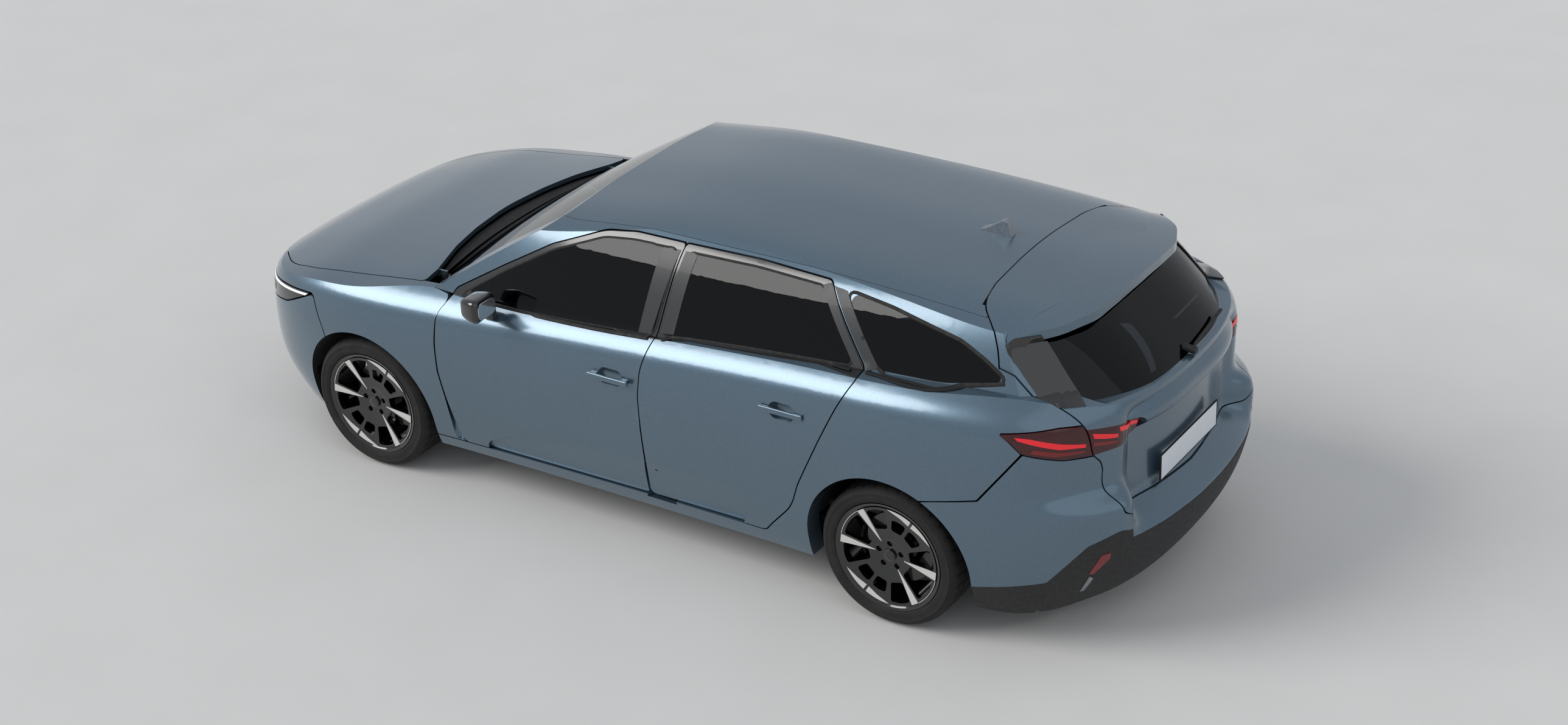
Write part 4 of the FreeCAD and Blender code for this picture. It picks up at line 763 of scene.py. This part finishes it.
PILLARS = {
    "front": [(-0.112, 1.012), (-0.048, 1.008), (-0.09, 1.343), (-0.178, 1.346)],
    "middle": [(-0.16, 1.028), (-0.224, 1.032), (-0.264, 1.347), (-0.203, 1.346)],
    "rear": [(-0.872, 1.346), (-0.906, 1.358), (-1.128, 1.092), (-1.09, 1.088), (-1.076, 1.104)],
    "quarter": [(-0.924, 1.352), (-0.988, 1.344), (-1.192, 1.112), (-1.19, 1.096), (-1.15, 1.09)],
}
PILLAR_THICK = 0.0018
BELT_WIDTH = 0.016
BELT_HEIGHT = 0.0022
SEAL_STEP = 0.012
SEAL_HEIGHT = 0.0012
SEAL_SINK = 0.001


def shifted(points, amount):
    """A closed outline moved outwards by its own normals."""
    area = sum(a.x * b.y - b.x * a.y for a, b in zip(points, points[1:] + points[:1]))
    turn = 1 if area > 0 else -1
    out = []
    for i, p in enumerate(points):
        along = (points[(i + 1) % len(points)] - points[i - 1]).normalized()
        out.append(p + Vector((along.y, -along.x)) * (turn * amount))
    return out


def averaged(values):
    """A closed row in which each value takes in half of its two neighbours."""
    rows = zip(values[-1:] + values[:-1], values, values[1:] + values[:1])
    return [(a + b * 2 + c) / 4 for a, b, c in rows]


def laid_line(target, line, sign):
    """Where the (x, z) points of a line meet one side, and the normals there."""
    hits = [on_side(target, p.x, p.y, sign) for p in line]
    return [at for at, _ in hits], [normal for _, normal in hits]


def window_seal(name, outline, target, sign, body, width):
    """A soft black seal that frames a window."""
    line = dense(outline, SEAL_STEP)
    for _ in range(5):
        line = averaged(line)
    centre, normals = laid_line(target, shifted(line, width * 0.35), sign)
    normals = [n.normalized() for n in averaged(normals)]
    strip(name, centre, normals, width, SEAL_HEIGHT, body, "black_plastic", closed=True, sink=SEAL_SINK)


def window_seals(side, sign):
    """Seals round the windows, black strips under them and dark panels on the pillars."""
    nodes = ("body_side_", "door_front_", "door_rear_", "door_front_glass_", "door_rear_glass_")
    target = surface_of(*(stem + side for stem in nodes), "quarter_glass")
    front, rear = f"door_front_{side}_body", f"door_rear_{side}_body"
    bodies = {"front": front, "middle": rear, "rear": rear, "quarter": "body"}
    for name, outline in WINDOWS.items():
        width = 0.016 if name == "quarter" else 0.01
        window_seal(f"{name}_window_seal_{side}", outline, target, sign, bodies[name], width)
    for name, line in BELTS.items():
        centre, normals = laid_line(target, smooth_line(line, 14), sign)
        strip(f"{name}_belt_{side}", centre, normals, BELT_WIDTH, BELT_HEIGHT, bodies[name], "gloss_black")

    def place(u, v):
        return on_side(target, u, v, sign)

    for name, outline in PILLARS.items():
        patch(f"pillar_{name}_{side}", outline, place, PILLAR_THICK, "grey", bodies[name], "gloss_black")


both_sides(window_seals)


# Lamps, plate and the rest of the tail; outlines are (angle from the tail's axis, height)

CLAW_THICK = 0.0015
GLOW_THICK = 0.0012
MARKER_THICK = 0.002
FINISHER_THICK = 0.004
TAIL_PIECES = (
    ("corner_claw_", "corner", CLAW_THICK, "claw", "lamp_red", 0.012, [
        (64.8, 1.003), (61.1, 0.998), (53.7, 0.97), (49.6, 0.958), (47.4, 0.953), (47.4, 0.938),
        (49.6, 0.942), (54.1, 0.947), (59.8, 0.972), (64.0, 0.991)]),
    ("middle_claw_", "gate", CLAW_THICK, "claw", "lamp_red", 0.012, [
        (45.6, 0.99), (45.2, 0.968), (41.6, 0.953), (38.4, 0.945), (38.4, 0.96), (42.7, 0.978)]),
    ("inner_claw_", "gate", CLAW_THICK, "claw", "lamp_red", 0.012, [
        (38.0, 0.988), (32.4, 0.962), (29.2, 0.946), (29.4, 0.932), (33.0, 0.944), (37.6, 0.966)]),
    ("corner_glow_", "corner", GLOW_THICK, "reflector", "lamp_red", 0.012, [
        (60.2, 0.955), (54.0, 0.934), (47.6, 0.926), (47.6, 0.916), (55.0, 0.918), (61.0, 0.94)]),
    ("middle_glow_", "gate", GLOW_THICK, "reflector", "lamp_red", 0.012, [
        (45.3, 0.953), (41.0, 0.939), (38.6, 0.933), (38.6, 0.923), (42.0, 0.926), (45.4, 0.936)]),
    # the bumper reflector has no lamp, so its faint glow is a painted glow
    ("rear_reflector_", "corner", MARKER_THICK, "reflector", "lamp_red", 0.015, [
        (44.2, 0.472), (41.8, 0.477), (41.8, 0.448), (45.7, 0.377), (46.9, 0.381)]),
    ("side_marker_", "corner", MARKER_THICK, "silver", "lamp_clear", 0.015, [
        (46.6, 0.367), (48.5, 0.279), (47.3, 0.283), (45.5, 0.352)]),
    ("pillar_finisher_", "pillar", FINISHER_THICK, "finisher", "gloss_black", 0.016, [
        (57.0, 1.32), (52.2, 1.23), (47.0, 1.112), (46.6, 1.092), (57.6, 1.097), (60.0, 1.14), (64.0, 1.21),
        (67.4, 1.262), (68.4, 1.288), (66.0, 1.318)]),
)


def tail_pieces(side, sign):
    """Claws and their glow in the lamps, reflectors in the bumper and the black finisher by the glass."""
    targets = {
        "corner": surface_of("rear_lamps", "body_side_" + side, "rear_bumper", "rear_valance"),
        "gate": surface_of("tailgate_lamps", "tailgate"),
        "pillar": surface_of("tailgate", "back_glass"),
    }
    for name, target, thick, material, slot, step, outline in TAIL_PIECES:
        body = "body" if target == "corner" else "tailgate_lid"
        end_patch(name + side, outline, targets[target], TAIL, sign, thick, material, body, slot, step)


both_sides(tail_pieces)


PLATE_BACK = -2.1975
PLATE_FRONT = -2.19
PLATE_HALF = 0.26
PLATE_LOW = 0.617
PLATE_HIGH = 0.727
PLATE_RIM = 0.006
PLATE_LAP = 0.002


def plate_frame():
    """A black surround that holds the blank plate."""
    half, low, high = PLATE_HALF, PLATE_LOW - PLATE_RIM, PLATE_HIGH + PLATE_RIM
    for name, y0, y1, z0, z1 in (("low", -half, half, low, PLATE_LOW + PLATE_LAP),
                                 ("high", -half, half, PLATE_HIGH - PLATE_LAP, high),
                                 ("right", -half - PLATE_RIM, PLATE_LAP - half, low, high),
                                 ("left", half - PLATE_LAP, half + PLATE_RIM, low, high)):
        bar("plate_frame_" + name, (PLATE_BACK, y0, z0), (PLATE_FRONT, y1, z1), "black", "black_plastic",
            body="tailgate_lid")


plate_frame()


# Seats

CHANNEL_WIDTH = 0.007
CHANNEL_DEPTH = 0.009
SEAM_RADIUS = 0.0024
# Just under 0.03, so that rounding can't drop a point of a run that is a whole number of steps long
SEAM_STEP = 0.02999
POST_RADIUS = 0.007
SEAT_Y = 0.37
FLOOR_Z = 0.236
REAR_PLACES = (-0.4, 0.0, 0.4)


def stations(half, radius, marks=(), gap=0.024):
    """Places along one axis of a pillow: fine at the rounded ends and at the sewn channels."""
    core = half - radius
    ends = [core + radius * math.tan(math.radians(a)) for a in (0, 12, 24, 35, 45)]
    found = [-v for v in reversed(ends)] + ends
    for mark in marks:
        found += [mark + k * CHANNEL_WIDTH for k in (-2.0, -1.2, -0.6, 0.0, 0.6, 1.2, 2.0)]
    steps = max(2, int(2 * core / gap))
    fixed = list(found)
    for i in range(1, steps):
        value = -core + 2 * core * i / steps
        if min(abs(value - f) for f in fixed) > gap * 0.45:
            found.append(value)
    return sorted({round(v, 5) for v in found if abs(v) <= half + 1e-6})


def stuffed(point, half, crown, pull, lift):
    """Crowns a block's faces and pulls its sides in; lift is the point's height in the block, -1 to 1."""
    u, v = point.x / half[0], point.y / half[1]
    point.x *= 1 - pull / half[0] * (1 - v * v) * u * u
    point.y *= 1 - pull / half[1] * (1 - u * u) * v * v
    point.z -= crown * (1 - (1 - u * u) * (1 - v * v)) * lift
    return point


def pillow_point(at, half, radius, crown=0, pull=0, channels=()):
    """One point of a rounded and stuffed block, with sewn channels on its top."""
    core = Vector([max(-(h - radius), min(h - radius, c)) for c, h in zip(at, half)])
    out = at - core
    point = core + (out.normalized() * radius if out.length > 1e-6 else out)
    lift = point.z / half[2]
    stuffed(point, half, crown, pull, lift)
    if lift > 0.4:
        for axis, mark in channels:
            away = (point.x if axis == "x" else point.y) - mark
            point.z -= CHANNEL_DEPTH * math.exp(-(away / CHANNEL_WIDTH) ** 2)
    return point


def block_mesh(lines, shaped):
    """Points and quads of a closed block with grid lines for each axis; shaped(point) moves a point."""
    index, verts, faces = {}, [], []

    def corner(key):
        if key not in index:
            index[key] = len(verts)
            verts.append(shaped(Vector([line[k] for line, k in zip(lines, key)])))
        return index[key]

    for axis in range(3):
        a, b = (k for k in range(3) if k != axis)
        for end in (0, len(lines[axis]) - 1):
            for i in range(len(lines[a]) - 1):
                for j in range(len(lines[b]) - 1):
                    face = []
                    for di, dj in ((0, 0), (1, 0), (1, 1), (0, 1)):
                        key = [0, 0, 0]
                        key[axis], key[a], key[b] = end, i + di, j + dj
                        face.append(corner(tuple(key)))
                    faces.append(face)
    return verts, faces


def pillow(name, form, place, replaced, channels, insert):
    """A stuffed piece; place(point) sends its own frame (length, width, thickness) into the car.
    A form is the half sizes, the corners' radius, the crown and the pull. Channels are (axis, place) pairs,
    and insert gives the cloth part as (least |y|, most |y|, most |x|)."""
    half, radius, crown, pull = form
    lines = [stations(half[k], radius, [m for a, m in channels if a == "xy"[k]]) for k in (0, 1)]
    radius = min(radius, half[2])
    lines.append(stations(half[2], radius, gap=0.02))
    flat, faces = block_mesh(lines, lambda at: pillow_point(at, half, radius, crown, pull, channels))
    made = piece(name, [place(v) for v in flat], faces, "leather", "body", "fabric")
    made.data.materials.append(M["cloth"])
    for polygon in made.data.polygons if insert else ():
        middle = sum((flat[i] for i in polygon.vertices), Vector()) / len(polygon.vertices)
        if middle.z > half[2] * 0.5 and insert[0] < abs(middle.y) < insert[1] and abs(middle.x) < insert[2]:
            polygon.material_index = 1
    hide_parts(replaced)


def rounded_rectangle(half_x, half_y, radius, angles):
    points = []
    for start, cx, cy in ((0, 1, 1), (90, -1, 1), (180, -1, -1), (270, 1, -1)):
        for angle in angles:
            t = math.radians(start + angle)
            points.append((cx * (half_x - radius) + radius * math.cos(t),
                           cy * (half_y - radius) + radius * math.sin(t)))
    return points


def piping(name, form, place):
    """A sewn seam that runs round a pillow's upper edge."""
    half, radius, crown, pull = form
    edge = radius * (1 - math.sin(math.radians(45)))
    points = rounded_rectangle(half[0] - edge, half[1] - edge, radius - edge, (0, 22, 45, 68, 90))
    line = [place(stuffed(Vector((p.x, p.y, half[2] - edge)), half, crown, pull, 1))
            for p in dense(points, SEAM_STEP)]
    line.append(line[0])
    tube_along(name, line, SEAM_RADIUS, "stitch", "fabric", sides=6)


def cushion(stem, tail, node, form, place, channels=(), insert=None):
    """A pillow and its seam, named by a stem and a tail."""
    pillow(stem + tail, form, place, node, channels, insert)
    piping(stem + "_seam" + tail, form, place)


def across_channels(ys, xs):
    return [("y", v) for v in ys] + [("x", v) for v in xs]


def level_place(x, y, z):
    """Sends a block's own frame to a place in the car without turning it."""
    middle = Vector((x, y, z))
    return lambda p: middle + p


def leaning_place(low_back, low_front, high_front, high_back, y, half):
    """Sends a pillow's frame into a leaning slab with (x, z) corners; the pillow's top faces forward."""
    a, b, c, d = (Vector((x, 0, z)) for x, z in (low_back, low_front, high_front, high_back))

    def place(p):
        s = (p.x / half[0] + 1) / 2
        t = (p.z / half[2] + 1) / 2
        at = (a.lerp(b, t)).lerp(d.lerp(c, t), s)
        return Vector((at.x, y + p.y, at.z))
    return place


def posts(stem, x, y, apart, low, high):
    """The two steel posts of a head restraint."""
    for number, dy in enumerate((-apart, apart)):
        tube_along(f"{stem}_{number}", [(x, y + dy, low), (x, y + dy, high)], POST_RADIUS, "alloy", "steel")


def front_seat(side, sign):
    """Cushion, backrest and head restraint, of leather edges and cloth middles, on their black base."""
    node, tail, y = "front_seat_" + side, "_" + side, SEAT_Y * sign
    form = ((0.26, 0.25, 0.067), 0.045, 0.016, 0.012)
    channels = across_channels((-0.155, 0.155), (-0.1, 0.02, 0.14))
    cushion("seat_cushion", tail, node, form, level_place(0.38, y, 0.413), channels, (-1, 0.152, 0.22))
    form = ((0.295, 0.24, 0.06), 0.045, 0.014, 0.022)
    place = leaning_place((0.06, 0.424), (0.21, 0.424), (0.12, 1.008), (0.022, 1.0), y, form[0])
    channels = across_channels((-0.15, 0.15), (-0.16, -0.05, 0.06, 0.17))
    cushion("seat_back", tail, node, form, place, channels, (-1, 0.147, 0.26))
    form = ((0.08, 0.125, 0.05), 0.04, 0.01, 0.012)
    place = leaning_place((0.0, 1.03), (0.1, 1.03), (0.092, 1.19), (0.0, 1.19), y, form[0])
    cushion("head_rest", tail, node, form, place)
    posts("head_rest_post_" + side, 0.05, y, 0.06, 0.97, 1.055)
    for number, dy in enumerate((-0.205, 0.165)):
        low, high = (0.15, y + dy, FLOOR_Z), (0.61, y + dy + 0.04, 0.33)
        bar(f"seat_rail_{side}_{number}", low, high, "black", "steel")
    bar("seat_pan_" + side, (0.15, y - 0.205, 0.318), (0.61, y + 0.205, 0.352), "black", "steel", 0.004)


def rear_bench():
    """The rear bench: one cushion and one backrest for three, with three head restraints."""
    node = "rear_seat"
    form = ((0.27, 0.64, 0.08), 0.05, 0.012, 0.008)
    channels = across_channels((-0.46, -0.2, 0.2, 0.46), (0.02, 0.15))
    cushion("rear_cushion", "", node, form, level_place(-0.6, 0.0, 0.38), channels, (0.203, 0.457, 0.23))
    form = ((0.29, 0.6, 0.06), 0.045, 0.01, 0.01)
    place = leaning_place((-0.9, 0.426), (-0.76, 0.426), (-0.88, 1.01), (-0.973, 1.0), 0.0, form[0])
    channels = across_channels((-0.45, -0.19, 0.19, 0.45), (-0.1, 0.04, 0.17))
    cushion("rear_back", "", node, form, place, channels, (0.193, 0.447, 0.25))
    form = ((0.07, 0.115, 0.0475), 0.038, 0.009, 0.01)
    for number, y in enumerate(REAR_PLACES):
        place = leaning_place((-1.01, 1.02), (-0.915, 1.02), (-0.915, 1.16), (-1.01, 1.16), y, form[0])
        cushion("rear_head_rest", f"_{number}", node, form, place)
        posts(f"rear_post_{number}", -0.955, y, 0.05, 0.965, 1.045)
    for number, (y0, y1) in enumerate(((-0.56, -0.14), (0.14, 0.56))):
        bar(f"rear_plinth_{number}", (-0.86, y0, FLOOR_Z), (-0.34, y1, 0.312), "black", "steel", 0.006)


both_sides(front_seat)
rear_bench()


def rounded_piece(name, half, radius, place, material, body, slot):
    """A hard rounded block whose points are sent to the car by place."""
    lines = [stations(h, radius, gap=0.012) for h in half]
    flat, faces = block_mesh(lines, lambda at: pillow_point(at, half, radius))
    return piece(name, [place(v) for v in flat], faces, material, body, slot)


# Cabin, engine bay and door handles

ARM_REST_HALF = (0.2, 0.026, 0.02)
DOOR_PULL_HALF = (0.045, 0.008, 0.008)
DOOR_RAY_Y = 0.45
MAT_THICK = 0.004
CABIN_BARS = (
    ("centre_screen", (0.772, -0.135, 0.865), (0.784, 0.135, 0.985), "gloss", "gloss_black", 0.004),
    ("screen_face", (0.7712, -0.128, 0.872), (0.7725, 0.128, 0.978), "lamp_dark", "gloss_black", 0.0005),
    ("instrument_hood", (0.78, 0.24, 0.88), (0.9, 0.5, 0.95), "trim", "black_plastic", 0.012),
    ("console_top", (0.05, -0.095, 0.556), (0.52, 0.095, 0.566), "gloss", "gloss_black", 0.003),
    ("gear_lever", (0.3, -0.022, 0.56), (0.36, 0.022, 0.6), "leather", "leather", 0.008),
    ("engine_cover", (1.16, -0.22, 0.812), (1.6, 0.26, 0.846), "black", "black_plastic", 0.01),
)
RIB_PLACES = [-0.15 + 0.085 * number for number in range(5)]
RIB_WIDTH = 0.022
HANDLE_CUPS = (("front", 0.045, 0.817, 0.878), ("rear", -0.82, 0.88, 0.871))
HANDLE_CUP_HALF = (0.066, 0.0022, 0.038)


def laid_mat(name, x0, x1, y0, y1, start):
    """A carpet laid on the floor below a height."""
    floor = surface_of("underbody")

    def place(u, v):
        _, _, _, far = floor.ray_cast(Vector((u, v, start)), Vector((0, 0, -1)))
        return (None, None) if far is None else (Vector((u, v, start - far)), Vector((0, 0, 1)))

    patch(name, [(x0, y0), (x1, y0), (x1, y1), (x0, y1)], place, MAT_THICK, "carpet", "body", "fabric", 0.06)


def arm_rest(end, side, sign, x, z):
    """A padded ledge and a pull on a door's inner face."""
    door = surface_of(f"door_{end}_{side}")
    _, _, _, far = door.ray_cast(Vector((x, sign * DOOR_RAY_Y, z)), Vector((0, sign, 0)))
    y = sign * (DOOR_RAY_Y + far - ARM_REST_HALF[1] + 0.004)
    body = f"door_{end}_{side}_body"
    place = level_place(x, y, z)
    rounded_piece(f"arm_rest_{end}_{side}", ARM_REST_HALF, 0.014, place, "leather", body, "leather")
    place = level_place(x + 0.12, y, z + 0.12)
    rounded_piece(f"door_pull_{end}_{side}", DOOR_PULL_HALF, 0.006, place, "alloy", body, "steel")


def cabin(side, sign):
    laid_mat("front_mat_" + side, 0.68, 0.96, *sorted((sign * 0.17, sign * 0.66)), 0.6)
    laid_mat("rear_mat_" + side, -0.28, 0.06, *sorted((sign * 0.17, sign * 0.6)), 0.6)
    arm_rest("front", side, sign, 0.25, 0.66)
    arm_rest("rear", side, sign, -0.5, 0.68)


def cabin_bars():
    """Centre screen, instrument hood, console, gear lever, and the ribbed cover over the engine."""
    for values in CABIN_BARS:
        bar(*values)
    for number, y in enumerate(RIB_PLACES):
        low, high = (1.2, y, 0.842), (1.56, y + RIB_WIDTH, 0.853)
        bar(f"engine_rib_{number}", low, high, "trim", "black_plastic", 0.004)


def handle_cups(side, sign):
    """A painted dish that closes the hand's room behind each door handle."""
    for end, x, z, y in HANDLE_CUPS:
        place = level_place(x, sign * (y - 0.001), z)
        rounded_piece(f"handle_cup_{end}_{side}", HANDLE_CUP_HALF, HANDLE_CUP_HALF[1], place, "paint",
                      f"door_{end}_{side}_body", "body_paint")


both_sides(cabin)
laid_mat("load_carpet", -1.96, -1.04, -0.44, 0.44, 0.9)
cabin_bars()
both_sides(handle_cups)


# Headlamps

DAY_LAMP = [(67.2, 0.797), (56.0, 0.777), (47.5, 0.761), (33.0, 0.746),
            (33.0, 0.737), (47.5, 0.751), (56.0, 0.766), (66.4, 0.786)]
LAMP_CELLS = (35.0, 40.0, 45.0)
CELL_WIDTH = 3.2
LAMP_THICK = 0.002


def headlamp_detail(side, sign):
    """A pale day lamp along the upper edge and three square lamps below it, behind the dark cover."""
    target = surface_of("headlamp_" + side, "wing_" + side, "front_bumper")

    def lamp(name, outline, material):
        end_patch(name, outline, target, NOSE, sign, LAMP_THICK, material, "body", "lamp_clear")

    lamp("day_lamp_" + side, DAY_LAMP, "white_lamp")
    for number, angle in enumerate(LAMP_CELLS):
        far = angle + CELL_WIDTH
        cell = [(angle, 0.726), (far, 0.73), (far, 0.702), (angle, 0.696)]
        lamp(f"lamp_cell_{side}_{number}", cell, "alloy")


both_sides(headlamp_detail)


# Door mirrors

SHELL_HALF = Vector((0.058, 0.08, 0.057))
SHELL_RADIUS = 0.03
SHELL_ROOM = 0.004
FOOT_HALF = Vector((0.04, 0.02, 0.034))
FOOT_AT = (0.715, 0.862, 0.952)


def shell_place(node, sign):
    """Sends a block into the mirror's place: slimmer ahead, a little lower and flatter by the door."""
    low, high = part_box(node)
    half = SHELL_HALF
    reach = max(abs(low[1]), abs(high[1]))
    middle = Vector((low[0] + half.x, sign * (reach - half.y), high[2] - half.z))
    middle += Vector((SHELL_ROOM, -sign * SHELL_ROOM, -SHELL_ROOM))

    def place(p):
        ahead = max(0.0, (p.x / half.x + 1) / 2)
        slim = 1 - 0.34 * ahead ** 2.2
        near = 1 - (p.y / half.y + 1) / 2
        z = (p.z - 0.006 * near) * slim * (1 - 0.12 * near)
        return middle + Vector((p.x - 0.002 + 0.012 * near, sign * p.y * slim, z))
    return place


def mirror_shell(side, sign):
    """The mirror's rounded shell, its glass and its foot."""
    body, node, slot = f"door_front_{side}_body", "mirror_" + side, "gloss_black"
    place = shell_place(node, sign)
    shell = rounded_piece("mirror_shell_" + side, SHELL_HALF, SHELL_RADIUS, place, "gloss", body, slot)
    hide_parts(node)
    outline = rounded_rectangle(0.062, 0.04, 0.026, range(0, 91, 15))
    verts = [place(Vector((depth - SHELL_HALF.x, y, z))) for depth in (0.004, -0.001) for y, z in outline]
    count = len(outline)
    faces = ring_faces(count, 2) + [ring_end(count, 0), ring_end(count, 1)]
    piece("mirror_glass_" + side, verts, faces, "mirror", body, "glass")
    place = level_place(FOOT_AT[0], sign * FOOT_AT[1], FOOT_AT[2])
    rounded_piece("mirror_foot_" + side, FOOT_HALF, 0.014, place, "gloss", body, slot)


both_sides(mirror_shell)


# Stage: floor, light and camera

STAGE_HALF = 40.0
STAGE_LINES = 9
STAGE_Z = -0.0005
SKY_COLOUR = (0.9, 0.94, 1.0, 1)
SKY_POWER = 0.56


def floor_material():
    f = Finish("floor_pale", rough=0.9)
    f.mottled(srgb(206, 205, 203), srgb(214, 213, 211), 2.0, 4.0)
    return f.pitted(60.0, 4.0, 0.1, 0.002).material


def make_stage():
    lines = [-STAGE_HALF + 2 * STAGE_HALF * i / (STAGE_LINES - 1) for i in range(STAGE_LINES)]
    starts = [j * STAGE_LINES + i for j in range(STAGE_LINES - 1) for i in range(STAGE_LINES - 1)]
    faces = [(k, k + 1, k + STAGE_LINES + 1, k + STAGE_LINES) for k in starts]
    mesh = bpy.data.meshes.new("floor")
    mesh.from_pydata([(x, y, STAGE_Z) for y in lines for x in lines], [], faces)
    mesh.materials.append(floor_material())
    linked("floor", mesh)


def make_world():
    world = bpy.data.worlds.new("soft_sky")
    bpy.context.scene.world = world
    world.use_nodes = True
    back = world.node_tree.nodes["Background"]
    back.inputs["Color"].default_value = SKY_COLOUR
    back.inputs["Strength"].default_value = SKY_POWER


def sun(name, origin, power, spread, colour):
    """A broad soft light from the direction of origin."""
    light = bpy.data.lights.new(name, "SUN")
    light.energy = power
    light.angle = math.radians(spread)
    light.color = colour
    made = linked(name, light)
    made.rotation_mode = "QUATERNION"
    made.rotation_quaternion = (-Vector(origin)).to_track_quat("-Z", "Y")


def make_lights():
    sun("key_light", (0.64, 0.52, 0.58), 1.8, 34, (1.0, 0.985, 0.96))
    sun("fill_light", (-0.75, 0.35, 0.7), 0.35, 70, (0.95, 0.98, 1.0))


SENSOR = 36
CAMERA_AT = (214.097, 27.691, -2.756)
CAMERA_AIM = Vector((-0.751594, 0.767847, 1.023538))
CAMERA_FAR = 10.7593
CAMERA_LENS = 4362.52 / 2576 * SENSOR


def make_camera():
    """The camera solved from the photo's wheels: azimuth, elevation and roll in degrees about the aim."""
    a, e, r = (math.radians(v) for v in CAMERA_AT)
    back = Vector((math.sin(a) * math.cos(e), -math.cos(a) * math.cos(e), math.sin(e)))
    right = (-back).cross(Vector((0, 0, 1))).normalized()
    up = right.cross(-back)
    across = right * math.cos(r) + up * math.sin(r)
    upward = -right * math.sin(r) + up * math.cos(r)
    matrix = Matrix((across, upward, back)).transposed().to_4x4()
    matrix.translation = CAMERA_AIM + back * CAMERA_FAR
    data = bpy.data.cameras.new("camera")
    data.sensor_width = SENSOR
    data.lens = CAMERA_LENS
    data.clip_end = 200
    camera = linked("camera", data)
    camera.matrix_world = matrix
    bpy.context.scene.camera = camera


make_stage()
make_world()
make_lights()
make_camera()
bpy.context.scene.view_settings.view_transform = "Standard"
